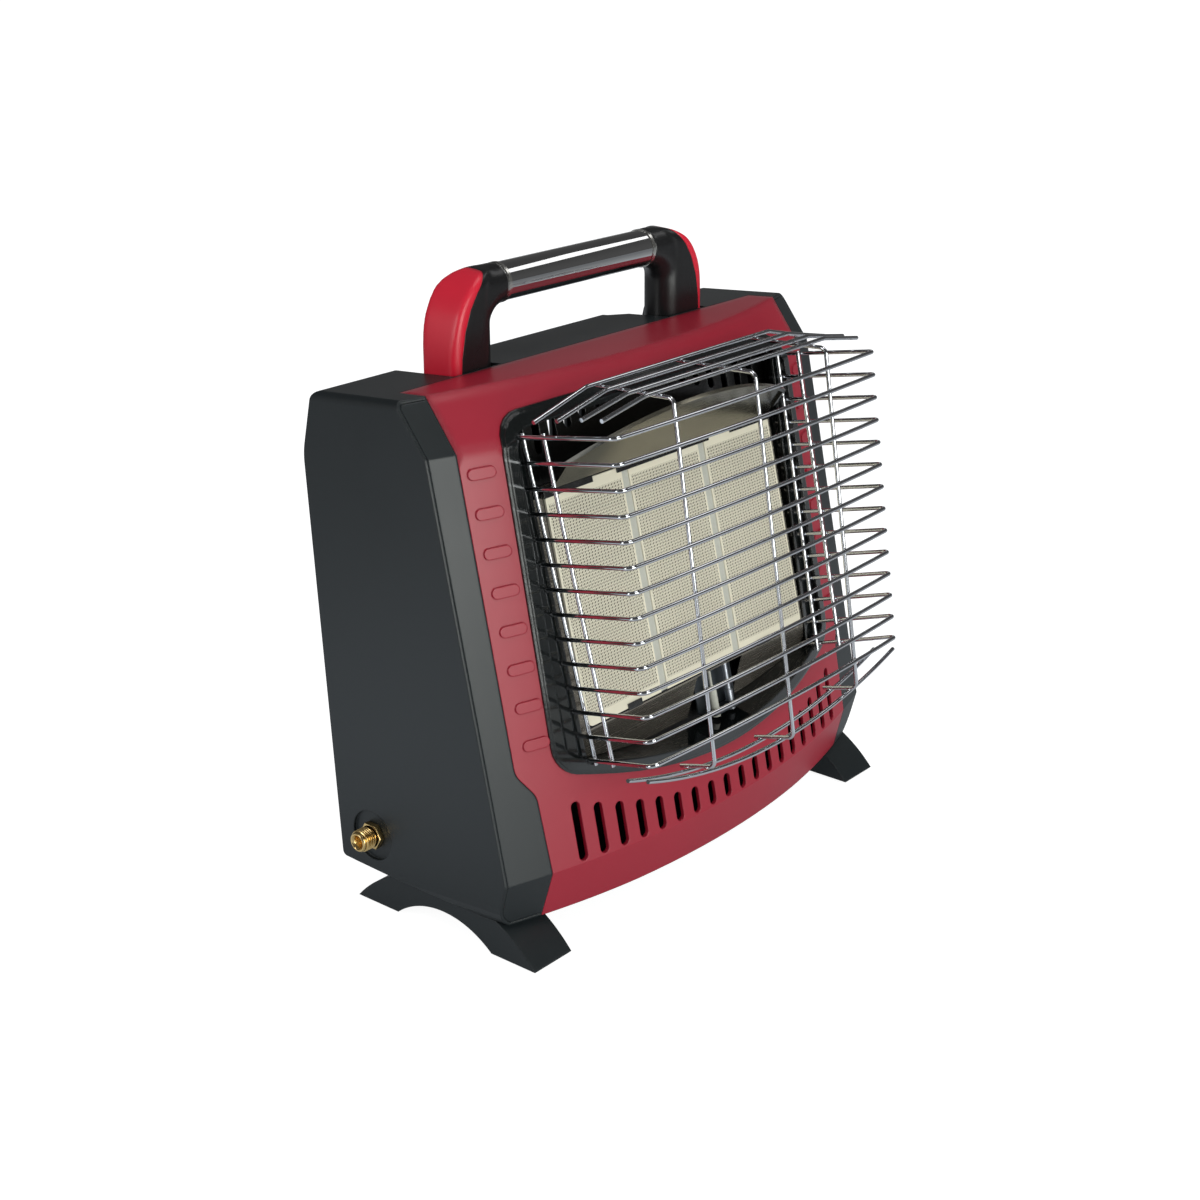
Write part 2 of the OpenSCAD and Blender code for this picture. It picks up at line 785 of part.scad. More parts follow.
module valve_spindle() {
    color(c_steel) on_knob(plunger_x + 0.05) cylinder(h = half_w + knob_out - 4.1 - plunger_x, r = spindle_r);
}
module knob() {
    color(c_black) on_knob(knob_base) difference() {
        union() {
            rotate_extrude() polygon([[0, 0], [knob_d / 2, 0], [knob_d / 2, 3], [knob_d / 2 - 2.5, 4],
                [knob_d / 2 - 3.2, 9.4], [knob_d / 2 - 5, 11], [0, 11.6]]);
            translate([-knob_d / 2 + 3.4, -3.5, 8]) cube([knob_d - 6.8, 7, 6]);
        }
        translate([0, 0, -1]) cylinder(h = 11.1, r = spindle_r + 0.03);
        for (a = [0:30:330]) rotate(a) translate([knob_d / 2 + 1.4, 0, 3.6]) cylinder(h = 12, r = 2.6);
    }
}

// Bracket under the tiles with the spark electrode and the flame probe
bracket_x = 18;
bracket_w = 36;
module ignition_bracket() {
    color(c_steel) on_burner() difference() {
        union() {
            translate([bracket_x - bracket_w / 2, -tile_h - 27, -9]) cube([bracket_w, 25.4, sheet_t]);
            translate([bracket_x - bracket_w / 2, -tile_h - 27, -9]) cube([bracket_w, sheet_t, 14]);
            translate([bracket_x - bracket_w / 2, -tile_h - 2.6, -49]) cube([bracket_w, sheet_t, 41]);
        }
        for (x = [-7, 8]) translate([bracket_x + x, -tile_h - 32, -4]) rotate([-90, 0, 0])
            cylinder(h = 12, r = 2.6);
    }
}
module ignition_electrode() {
    color(c_tile) on_burner() translate([bracket_x - 7, -tile_h - 31, -4]) rotate([-90, 0, 0]) {
        cylinder(h = 18, r = 2.5);
        translate([0, 0, 17]) cylinder(h = 11, r = 0.9);
    }
}
module thermocouple() {
    color(c_steel) on_burner() translate([bracket_x + 8, -tile_h - 31, -4]) rotate([-90, 0, 0]) {
        cylinder(h = 12, r = 2.5);
        translate([0, 0, 11]) cylinder(h = 18, r = 1.6);
    }
}

// Safety switch that shuts the valve if the heater is tipped over
module tilt_switch() {
    color(c_steel) translate([60, fy(62), floor_at(42) + wall_t + seam]) difference() {
        cube([26, 20, 18]);
        translate([-1, 3, 15]) cube([28, 2, 10]);
    }
}

// Guard: horizontal wires stand in front, posts and rods inside them
wire_r = wire_d / 2;
wire_gap = 0.05;
guard_top = [162.7, window_top - 4.3];
guard_low = [187.9, window_bottom + 38.8];
leg_top = [91, window_top - 16.6];
leg_low = [132.6, window_bottom + 22.8];
leg_x_top = guard_x - 1.4;
leg_x_low = guard_x - 9.9;
bow_top = 4;
bow_low = 6.5;
function bar_front(t) = mix(guard_top, guard_low, t);
function bar_end(t) = mix(leg_top, leg_low, t);
function bar_dir(t) = let (v = bar_front(t) - bar_end(t)) v / norm(v);
function bar_len(t) = norm(bar_front(t) - bar_end(t));
function bar_tilt(t) = atan2(bar_dir(t).y, bar_dir(t).x);
function bar_bow(t) = mix(bow_top, bow_low, t);

function bar_x(t) = mix(leg_x_top, leg_x_low, t);

// Plane of one horizontal wire: x along it, y forwards from its bends
module on_bar(t) {
    p = bar_front(t);
    translate([0, fy(p.x), p.y]) rotate([180 - bar_tilt(t), 0, 0]) children();
}
leg_in = 3.5;
module guard_legs(t, r, reach = 0) {
    far = [bar_x(t), -bar_len(t), 0];
    near = [guard_x, 0, 0];
    u = (near - far) / norm(near - far);
    run = reach > 0 ? norm(near - far) - reach : bend_run(t) - 0.2;
    deep = reach > 0 ? leg_in + 0.5 : leg_in;
    on_bar(t) for (s = [0, 1]) mirror([s, 0, 0]) rod(near - u * run, far - u * deep, r);
}
function bar_arc(t) = (pow(guard_x, 2) + pow(bar_bow(t), 2)) / 2 / bar_bow(t);
function bar_beta(t) = asin(guard_x / bar_arc(t));
function bend_run(t) = let (u = [bar_x(t) - guard_x, -bar_len(t)], v = [-cos(bar_beta(t)), sin(bar_beta(t))])
    bend_r / tan(acos(u * v / norm(u)) / 2);

module guard_bar(t) {
    arc_r = bar_arc(t);
    b = bar_beta(t);
    reach = asin((guard_x - bend_run(t) * cos(b) + 0.2) / arc_r);
    guard_legs(t, wire_r);
    on_bar(t) {
        for (s = [0, 1]) mirror([s, 0, 0])
            wire_bend([bar_x(t), -bar_len(t)], [guard_x, 0], [guard_x - 20 * cos(b), 20 * sin(b)], bend_r, wire_r);
        translate([0, bar_bow(t) - arc_r, 0]) rotate([0, 0, 90 - reach])
            rotate_extrude(angle = 2 * reach, $fn = 256) translate([arc_r, 0]) circle(wire_r);
    }
}
module guard_bars() {
    color(c_chrome) for (i = [0:bar_n - 1]) guard_bar(i / (bar_n - 1));
}

// Posts touch the horizontal wires from inside and turn back at both ends
post_x = 70;
post_top_z = window_top + 6.5;
post_low_z = window_bottom + 15.7;
return_d = 112.7;
return_z = window_top + 4.5;
sill_wire_ds = [172, 185.6];
sill_wire_r = 379;
step = wire_d + wire_gap;
function bar_at(x, t) = bar_front(t) + bar_dir(t) * bar_bow(t) * (1 - pow(x / guard_x, 2));
function post_at(x, z) = let (a = bar_at(x, 0), b = bar_at(x, 1), u = (b - a) / norm(b - a))
    let (n = [-u.y, u.x], c = a - n * step) c + u * (z - c.y) / u.y;
function sill_lift(x) = sill_wire_r - sqrt(pow(sill_wire_r, 2) - x * x);
low_return = 0.27;
module guard_post(x) {
    low = post_at(x, post_low_z + sill_lift(x));
    color(c_chrome) translate([x, fy(0), 0]) rotate([90, 0, -90]) bent_wire([
        [return_d - 3, return_z - 0.1], post_at(x, post_top_z), low,
        [sill_wire_ds[0] - 3, low.y - low_return * (low.x - sill_wire_ds[0] + 3)]], bend_r, wire_r);
}
module guard_post_left() { guard_post(-post_x); }
module guard_post_middle() { guard_post(0); }
module guard_post_right() { guard_post(post_x); }

// Upright rods inside the legs
side_rod_steps = [6, 21];
function leg_at(t, s) = let (f = bar_front(t), e = bar_end(t), k = s / bar_len(t))
    [mix(bar_x(t), guard_x, k), fy(mix(e.x, f.x, k)), mix(e.y, f.y, k)];
module guard_side_rods() {
    color(c_chrome) for (m = [0, 1]) mirror([m, 0, 0]) for (s = side_rod_steps)
        translate([-wire_d - 0.35, 0, 0]) rod(leg_at(-0.01, s), leg_at(1.02, s), wire_r);
}

// Rods across the top, straight in the middle and bent down at both ends
top_rod_ds = [112.7, 126.4, 140.6, 152];
top_rod_drop = [10.5, 8.5, 6.5, 6];
module guard_top_rods() {
    slope = (post_top_z - return_z) / (post_at(0, post_top_z).x - return_d);
    color(c_chrome) for (i = [0:3]) {
        z = return_z + slope * (top_rod_ds[i] - return_d) + step + 0.05;
        end_x = guard_x + 5.1 - 2.5 * i;
        translate([0, fy(top_rod_ds[i]), 0]) rotate([90, 0, 0]) bent_wire([[-end_x, z - top_rod_drop[i]],
            [-82, z], [82, z], [end_x, z - top_rod_drop[i]]], 12, wire_r);
    }
}

// Rods under the window, bowed like the sill
module guard_bottom_rods() {
    low = post_at(0, post_low_z);
    half = asin((guard_x + 1.1) / sill_wire_r);
    color(c_chrome) for (d = sill_wire_ds) {
        z = low.y - low_return * (low.x - d) - step * 1.06;
        translate([0, fy(d), z + sill_wire_r]) rotate([90, 0, 0]) rotate([0, 0, -90 - half])
            rotate_extrude(angle = 2 * half, $fn = 256) translate([sill_wire_r, 0]) circle(wire_r);
    }
}

// Handle
arm_r = arm_depth / 2;
sleeve_r = grip_d / 2 + 0.6;
elbow_r = arm_x0 + arm_r - grip_x;
arm_top = grip_z + sleeve_r;
arm_low = pivot_z - arm_r;
module on_pivot_side(x) {
    translate([x, fy(pivot_d), pivot_z]) rotate([0, 90, 0]) children();
}

// One arm with its cap: column with a round inner side, rounded below about the
// pivot, that turns inwards through an elbow and a sleeve to the grip
sleeve_end = grip_x + 20;
arm_edge_r = 8.5;
module arm_form() {
    intersection() {
        translate([0, 0, arm_low - 1]) linear_extrude(120) {
            translate([arm_x0 + arm_r, fy(pivot_d)]) circle(arm_r);
            translate([0, fy(pivot_d)]) polygon(rounded(
                [[arm_x0 + arm_r, arm_r], [arm_x0 + arm_r, -arm_r], [arm_x1, -arm_r], [arm_x1, arm_r]],
                [0, 0, arm_edge_r, 3.5]));
        }
        across(400) polygon(rounded([[fy(pivot_d) - arm_r, arm_low], [fy(pivot_d) + arm_r, arm_low],
            [fy(pivot_d) + arm_r, arm_top], [fy(pivot_d) - arm_r, arm_top]],
            [arm_r - 0.1, arm_r - 0.1, arm_r - 1, arm_r - 1], 12));
        through() polygon(arm_edge(0, 0.3));
    }
    for (k = [0:2]) hull() {
        elbow_slice(k * 30);
        elbow_slice(k * 30 + 30);
    }
    translate([grip_x, fy(pivot_d), grip_z]) rotate([0, 90, 0]) cylinder(h = sleeve_end - grip_x, r = sleeve_r);
}

// Outer outline of an arm, set in by i, ending lift above the arm's top
function arm_edge(i, lift) = rounded([
    [grip_x - 5, arm_low - 1], [arm_x1 - i, arm_low - 1], [arm_x1 - i, arm_top - 75],
    [arm_x1 - 1.3 - i, arm_top - 50], [arm_x1 - 4.3 - i, arm_top - 30],
    [arm_x1 - 10.3 - i, arm_top + 0.3 - 0.8 * i], [arm_x1 - 34, arm_top + lift], [grip_x - 5, arm_top + lift]],
    [0, 0, 40, 40, 40, 20, 0, 0]);
module elbow_slice(a) {
    translate([grip_x, fy(pivot_d), grip_z - elbow_r]) rotate([0, -a, 0]) translate([elbow_r, 0, 0])
        cylinder(h = 0.01, r = mix(arm_r, sleeve_r, a / 90), $fn = 40);
}
cap_low = pivot_z + 9;
module cap_room(g) {
    through() difference() {
        translate([60, cap_low - g]) square([80, 100]);
        polygon(arm_edge(4.5 + g, 2));
    }
}
module handle_arm() {
    color(c_black) difference() {
        arm_form();
        cap_room(0.1);
        on_pivot_side(60) cylinder(h = 70, r = pin_d / 2 + 0.05);
        translate([grip_x - 5, fy(pivot_d), grip_z]) rotate([0, 90, 0])
            cylinder(h = 5 + 14, r = grip_d / 2 + 0.05);
    }
}
module handle_cap() {
    color(c_red) intersection() {
        arm_form();
        cap_room(0);
    }
}
module handle_arm_left() { mirror([1, 0, 0]) handle_arm(); }
module handle_arm_right() { handle_arm(); }
module handle_cap_left() { mirror([1, 0, 0]) handle_cap(); }
module handle_cap_right() { handle_cap(); }
module handle_grip() {
    color(c_chrome) translate([-grip_x - 13, fy(pivot_d), grip_z]) rotate([0, 90, 0]) difference() {
        cylinder(h = 2 * grip_x + 26, r = grip_d / 2);
        translate([0, 0, -1]) cylinder(h = 2 * grip_x + 28, r = grip_d / 2 - 1.2);
    }
}
module grip_rings() {
    color(c_chrome) for (s = [-1, 1]) translate([s * (grip_x - 1.1), fy(pivot_d), grip_z]) rotate([0, 90, 0])
        difference() {
            cylinder(h = 2, r = sleeve_r, center = true);
            cylinder(h = 4, r = grip_d / 2 + 0.05, center = true);
        }
}
module handle_pins() {
    color(c_steel) for (s = [-1, 1]) mirror([s < 0 ? 1 : 0, 0, 0])
        on_pivot_side(channel_x0 - 8) cylinder(h = channel_x1 - channel_x0 + 16, r = pin_d / 2);
}

// Feet
pad_t = 1;
module foot_outline() {
    intersection() {
        difference() {
            translate([fy(foot_d), 32 - foot_r]) circle(foot_r, $fn = 128);
            translate([fy(foot_d), arch_h - arch_r]) circle(arch_r, $fn = 128);
        }
        translate([fy(foot_d) - 100, pad_t]) square([200, 60]);
    }
}
module foot() {
    color(c_black) difference() {
        translate([foot_x - foot_w / 2, 0, 0]) rotate([90, 0, 90]) linear_extrude(foot_w) foot_outline();
        body_solid();
        for (d = foot_screw_ds) translate([foot_x, fy(d), -1]) cylinder(h = 40, r = screw_r + 0.3);
        for (d = foot_screw_ds) translate([foot_x, fy(d), -1]) cylinder(h = screw_head_z + 1, r = 4.3);
    }
}
screw_head_z = 14.5;
module foot_left() { mirror([1, 0, 0]) foot(); }
module foot_right() { foot(); }
module foot_pads() {
    inner = sqrt(pow(arch_r, 2) - pow(arch_r - arch_h, 2));
    outer = sqrt(pow(foot_r, 2) - pow(foot_r - 32, 2));
    color(c_dark) for (s = [-1, 1]) for (e = [-1, 1])
        translate([s * foot_x, fy(foot_d) + e * (inner + outer) / 2, pad_t / 2 - 0.02])
            cube([foot_w - 4, outer - inner - 4, pad_t - 0.04], center = true);
}

// Fasteners
module screw(len) {
    difference() {
        union() {
            translate([0, 0, -0.5]) cylinder(h = len + 0.5, r = screw_r);
            translate([0, 0, -2.2]) cylinder(h = 2.2, r = 3.8);
        }
        for (a = [0, 90]) rotate(a) translate([-2.2, -0.5, -3]) cube([4.4, 1, 2]);
    }
}
module foot_screws() {
    color(c_steel) for (s = [-1, 1]) for (d = foot_screw_ds) translate([s * foot_x, fy(d), screw_head_z - 0.05])
        screw(22);
}
module shell_screws() {
    color(c_steel) for (p = shell_screw_places) translate([p.x, fy(rear_at(p.y)) + 0.3, p.y]) rotate([90, 0, 0])
        screw(16);
}

rear_shell();
front_frame();
front_panel();
window_bezel();
heat_plate();
reflector();
deflector();
burner_box();
burner_frame();
tile_left();
tile_middle();
tile_right();
tile_joints();
mixing_tube();
injector();
gas_pipe();
supply_pipe();
inlet_fitting();
inlet_nut();
valve_body();
valve_plunger();
valve_spindle();
knob();
ignition_bracket();
ignition_electrode();
thermocouple();
tilt_switch();
guard_bars();
guard_post_left();
guard_post_middle();
guard_post_right();
guard_side_rods();
guard_top_rods();
guard_bottom_rods();
handle_grip();
grip_rings();
handle_arm_left();
handle_arm_right();
handle_cap_left();
handle_cap_right();
handle_pins();
foot_left();
foot_right();
foot_pads();
foot_screws();
shell_screws();
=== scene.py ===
import math

import bpy
from mathutils import Matrix, Vector


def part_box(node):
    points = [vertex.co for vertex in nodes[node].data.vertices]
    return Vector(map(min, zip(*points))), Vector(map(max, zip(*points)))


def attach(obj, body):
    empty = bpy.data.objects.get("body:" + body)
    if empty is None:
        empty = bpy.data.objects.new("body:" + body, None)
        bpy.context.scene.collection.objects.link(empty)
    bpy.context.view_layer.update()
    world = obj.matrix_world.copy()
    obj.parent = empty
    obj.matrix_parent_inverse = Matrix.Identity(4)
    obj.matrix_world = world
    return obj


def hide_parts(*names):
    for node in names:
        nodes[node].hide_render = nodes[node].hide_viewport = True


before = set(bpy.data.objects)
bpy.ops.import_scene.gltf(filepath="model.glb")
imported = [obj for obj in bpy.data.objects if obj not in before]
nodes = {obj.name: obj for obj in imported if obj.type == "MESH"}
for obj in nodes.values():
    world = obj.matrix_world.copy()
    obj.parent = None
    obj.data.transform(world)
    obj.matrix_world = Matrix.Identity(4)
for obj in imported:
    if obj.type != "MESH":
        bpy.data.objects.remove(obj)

scene = bpy.context.scene
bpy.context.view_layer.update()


# ---- Camera ------------------------------------------------------------------
# Stands more than a metre off to the heater's left and looks down on its guard
# and its left wall. A long lens, turned a little about its own axis.
turn = math.radians(-50.16860)
tilt = math.radians(21.27799)
roll = math.radians(0.19640)
camera_at = Vector((-0.856763, -0.681050, 0.569965))
back = Vector((math.sin(turn) * math.cos(tilt), -math.cos(turn) * math.cos(tilt), math.sin(tilt)))
right = Vector((0, 0, 1)).cross(back).normalized()
up = back.cross(right)
right, up = (
    right * math.cos(roll) - up * math.sin(roll),
    right * math.sin(roll) + up * math.cos(roll),
)
lens_data = bpy.data.cameras.new("camera")
lens_data.sensor_width = 36.0
lens_data.lens = 59.6207
lens_data.shift_x = -0.005333
lens_data.shift_y = 0.014559
lens_data.clip_start = 0.05
camera = bpy.data.objects.new("camera", lens_data)
scene.collection.objects.link(camera)
camera.matrix_world = Matrix(
    (
        (right.x, up.x, back.x, camera_at.x),
        (right.y, up.y, back.y, camera_at.y),
        (right.z, up.z, back.z, camera_at.z),
        (0, 0, 0, 1),
    )
)
scene.camera = camera
scene.view_settings.view_transform = "Standard"


# ---- Studio ------------------------------------------------------------------
# White backdrop and pale floor for the camera. Metal and gloss see a greyer
# backdrop behind the heater, a floor lit in pools, and a dim studio in front with
# its softboxes. Matt surfaces are lit by the softboxes and by an even, cool room.
def link(tree, source, target):
    tree.links.new(source, target)


def add(tree, kind, x=0, y=0, **settings):
    node = tree.nodes.new(kind)
    node.location = (x, y)
    for key, value in settings.items():
        setattr(node, key, value)
    return node


def maths(tree, operation, *values, x=0, y=0):
    """One Math node whose inputs are sockets or numbers."""
    node = add(tree, "ShaderNodeMath", x, y, operation=operation)
    for socket, value in zip(node.inputs, values):
        if isinstance(value, (int, float)):
            socket.default_value = value
        else:
            link(tree, value, socket)
    return node.outputs[0]


def ramp(tree, value, low, high, start=0.0, end=1.0, x=0, y=0):
    """Smooth step from start at low to end at high."""
    node = add(tree, "ShaderNodeMapRange", x, y, interpolation_type="SMOOTHSTEP")
    node.inputs["From Min"].default_value = low
    node.inputs["From Max"].default_value = high
    node.inputs["To Min"].default_value = start
    node.inputs["To Max"].default_value = end
    link(tree, value, node.inputs["Value"])
    return node.outputs[0]


def seen_by(tree, bright):
    """Which rays see the glow, and its strength: camera rays 1, mirrored and clear rays bright."""
    path = add(tree, "ShaderNodeLightPath", -900, 400)
    glossy, clear = path.outputs["Is Glossy Ray"], path.outputs["Is Transmission Ray"]
    metal = maths(tree, "MAXIMUM", glossy, clear, x=-700, y=400)
    mirrored = maths(tree, "MULTIPLY", metal, bright, x=-500, y=300)
    strength = maths(tree, "MAXIMUM", path.outputs["Is Camera Ray"], mirrored, x=-300, y=400)
    seen = maths(tree, "MAXIMUM", path.outputs["Is Camera Ray"], metal, x=-500, y=500)
    return seen, strength


room = bpy.data.worlds.new("studio")
scene.world = room
room.use_nodes = True
tree = room.node_tree
tree.nodes.clear()
ray = add(tree, "ShaderNodeTexCoord", -1700, 0)
aim = add(tree, "ShaderNodeVectorMath", -1500, 100, operation="DOT_PRODUCT")
aim.inputs[1].default_value = Vector((-back.x, -back.y, 0)).normalized()
link(tree, ray.outputs["Generated"], aim.inputs[0])
height = add(tree, "ShaderNodeSeparateXYZ", -1500, -100)
link(tree, ray.outputs["Generated"], height.inputs[0])
behind = ramp(tree, aim.outputs["Value"], 0.70, 0.92, 0.0, 0.5, -1300, 100)
level = ramp(tree, height.outputs["Z"], 0.02, 0.22, 1.0, 0.05, -1300, -100)
overhead = ramp(tree, height.outputs["Z"], 0.1, 0.8, 0.09, 0.06, -1300, -300)
wall = maths(tree, "MULTIPLY", behind, level, x=-1100, y=0)
sky = maths(tree, "MAXIMUM", wall, overhead, x=-1100, y=-200)
seen, strength = seen_by(tree, sky)
dim = add(tree, "ShaderNodeBackground", 0, 100)
dim.inputs["Color"].default_value = (0.93, 0.96, 1.0, 1)
link(tree, ramp(tree, height.outputs["Z"], -0.1, 0.8, 0.26, 0.66, -300, 100), dim.inputs["Strength"])
white = add(tree, "ShaderNodeBackground", 0, -100)
white.inputs["Color"].default_value = (1, 1, 1, 1)
link(tree, strength, white.inputs["Strength"])
pick = add(tree, "ShaderNodeMixShader", 240, 0)
out = add(tree, "ShaderNodeOutputWorld", 440, 0)
link(tree, seen, pick.inputs[0])
link(tree, dim.outputs[0], pick.inputs[1])
link(tree, white.outputs[0], pick.inputs[2])
link(tree, pick.outputs[0], out.inputs["Surface"])

# Floor of pale matt paper, just under the feet. Metal and gloss see three pools of
# light on it: (centre, reach, brightness).
floor_size, floor_drop = 60, 0.0003
floor_pools = (
    ((0, 0, 0), 1.1, 0.20),
    ((0.22, -0.60, 0), 0.42, 0.50),
    ((-0.60, 0.14, 0), 0.48, 0.62),
)
pool_rim, beyond_pools = 0.55, 0.04
bpy.ops.object.select_all(action="DESELECT")
bpy.ops.mesh.primitive_plane_add(size=floor_size, location=(0, 0, -floor_drop))
floor = bpy.context.active_object
floor.name = "floor"
paper = bpy.data.materials.new("white_paper")
paper.use_nodes = True
tree = paper.node_tree
tree.nodes.clear()
place = add(tree, "ShaderNodeTexCoord", -1900, 0)
pools = []
for k, (centre, reach, bright) in enumerate(floor_pools):
    distance = add(tree, "ShaderNodeVectorMath", -1700, -200 * k, operation="DISTANCE")
    distance.inputs[1].default_value = centre
    link(tree, place.outputs["Object"], distance.inputs[0])
    pools.append(
        ramp(tree, distance.outputs["Value"], reach * pool_rim, reach, bright, beyond_pools, -1500, -200 * k)
    )
near = maths(tree, "MAXIMUM", pools[0], pools[1], x=-1300, y=0)
near = maths(tree, "MAXIMUM", near, pools[2], x=-1100, y=0)
seen, strength = seen_by(tree, near)
matt = add(tree, "ShaderNodeBsdfDiffuse", 0, 100)
matt.inputs["Color"].default_value = (0.80, 0.80, 0.80, 1)
glow = add(tree, "ShaderNodeEmission", 0, -100)
cool = add(tree, "ShaderNodeMix", -200, -60, data_type="RGBA")
cool.inputs[6].default_value = (0.80, 0.90, 1.0, 1)
cool.inputs[7].default_value = (1, 1, 1, 1)
link(tree, add(tree, "ShaderNodeLightPath", -400, -60).outputs["Is Camera Ray"], cool.inputs[0])
link(tree, cool.outputs[2], glow.inputs["Color"])
lift = maths(tree, "MULTIPLY", strength, 1.5, x=-100, y=-200)
link(tree, lift, glow.inputs["Strength"])
share = maths(tree, "MULTIPLY", seen, 0.62, x=-80, y=300)
pick = add(tree, "ShaderNodeMixShader", 240, 0)
out = add(tree, "ShaderNodeOutputMaterial", 440, 0)
link(tree, share, pick.inputs[0])
link(tree, matt.outputs[0], pick.inputs[1])
link(tree, glow.outputs[0], pick.inputs[2])
link(tree, pick.outputs[0], out.inputs["Surface"])
floor.data.materials.append(paper)


def softbox(name, place, aim, size, power, colour=(1, 1, 1)):
    """A rectangular lamp at place, turned to shine at aim."""
    lamp = bpy.data.lights.new(name, "AREA")
    lamp.shape = "RECTANGLE"
    lamp.size, lamp.size_y = size
    lamp.energy = power
    lamp.color = colour
    lamp_object = bpy.data.objects.new(name, lamp)
    scene.collection.objects.link(lamp_object)
    lamp_object.location = place
    lamp_object.rotation_euler = (Vector(aim) - Vector(place)).to_track_quat("-Z", "Y").to_euler()


softbox("front_box", (-0.25, -1.7, 0.42), (0, 0, 0.16), (1.15, 0.8), 20, (0.97, 1.0, 0.96))
softbox("side_box", (-1.6, 0.45, 0.75), (0, 0, 0.2), (0.5, 0.8), 6)
softbox("right_box", (1.0, -0.34, 1.24), (0, 0.05, 0.34), (0.7, 0.22), 0.8)
softbox("top_box", (0.2, -0.3, 1.7), (0, 0, 0.2), (1.0, 0.4), 5)


# ---- Moulded housing ---------------------------------------------------------
# Rear shell and front frame, injection-moulded in dyed black polypropylene and
# screwed together from behind. Fine spark-eroded grain, edges just rounded.
def grain_group():
    """Fine moulded grain: a height, a roughness and a slow drift of tone."""
    group = bpy.data.node_groups.new("moulded_grain", "ShaderNodeTree")
    for name, value in (("Scale", 2200.0), ("Roughness", 0.45), ("Spread", 0.1)):
        socket = group.interface.new_socket(name, in_out="INPUT", socket_type="NodeSocketFloat")
        socket.default_value = value
    for name in ("Height", "Roughness", "Drift"):
        group.interface.new_socket(name, in_out="OUTPUT", socket_type="NodeSocketFloat")
    inputs = add(group, "NodeGroupInput", -900, 0)
    outputs = add(group, "NodeGroupOutput", 500, 0)
    place = add(group, "ShaderNodeTexCoord", -900, 200)
    fine = add(group, "ShaderNodeTexNoise", -600, 200)
    fine.inputs["Detail"].default_value = 3.0
    fine.inputs["Roughness"].default_value = 0.6
    slow = add(group, "ShaderNodeTexNoise", -600, -100)
    slow.inputs["Scale"].default_value = 14.0
    slow.inputs["Detail"].default_value = 4.0
    link(group, place.outputs["Object"], fine.inputs["Vector"])
    link(group, place.outputs["Object"], slow.inputs["Vector"])
    link(group, inputs.outputs["Scale"], fine.inputs["Scale"])
    centred = maths(group, "SUBTRACT", slow.outputs["Fac"], 0.5, x=-380, y=-100)
    spread = maths(group, "MULTIPLY", centred, inputs.outputs["Spread"], x=-200, y=-100)
    rough = maths(group, "ADD", spread, inputs.outputs["Roughness"], x=0, y=-100)
    link(group, fine.outputs["Fac"], outputs.inputs["Height"])
    link(group, rough, outputs.inputs["Roughness"])
    link(group, slow.outputs["Fac"], outputs.inputs["Drift"])
    return group


def edge_group():
    """Rounded edges: a normal that rolls over an edge, and a mask of the edges."""
    group = bpy.data.node_groups.new("rounded_edges", "ShaderNodeTree")
    socket = group.interface.new_socket("Radius", in_out="INPUT", socket_type="NodeSocketFloat")
    socket.default_value = 0.0008
    group.interface.new_socket("Normal", in_out="OUTPUT", socket_type="NodeSocketVector")
    group.interface.new_socket("Edge", in_out="OUTPUT", socket_type="NodeSocketFloat")
    inputs = add(group, "NodeGroupInput", -700, 0)
    outputs = add(group, "NodeGroupOutput", 500, 0)
    roll_over = add(group, "ShaderNodeBevel", -400, 100, samples=6)
    link(group, inputs.outputs["Radius"], roll_over.inputs["Radius"])
    flat = add(group, "ShaderNodeNewGeometry", -400, -150)
    dot = add(group, "ShaderNodeVectorMath", -200, 0, operation="DOT_PRODUCT")
    link(group, roll_over.outputs["Normal"], dot.inputs[0])
    link(group, flat.outputs["Normal"], dot.inputs[1])
    link(group, roll_over.outputs["Normal"], outputs.inputs["Normal"])
    link(group, ramp(group, dot.outputs["Value"], 1.0, 0.8), outputs.inputs["Edge"])
    return group


moulded_grain = grain_group()
rounded_edges = edge_group()


def finish(name, roughness, metallic=0.0):
    """A new material with one Principled shader in it."""
    material = bpy.data.materials.new(name)
    material.use_nodes = True
    tree = material.node_tree
    shader = tree.nodes["Principled BSDF"]
    shader.inputs["Roughness"].default_value = roughness
    shader.inputs["Metallic"].default_value = metallic
    return material, tree, shader


def mixed(tree, dark, light, factor, x=-400, y=200):
    """A colour between dark and light by the factor socket."""
    node = add(tree, "ShaderNodeMix", x, y, data_type="RGBA")
    node.inputs[6].default_value = (*dark, 1)
    node.inputs[7].default_value = (*light, 1)
    link(tree, factor, node.inputs[0])
    return node.outputs[2]


brow_fade, brow_radius = 0.006, 0.008


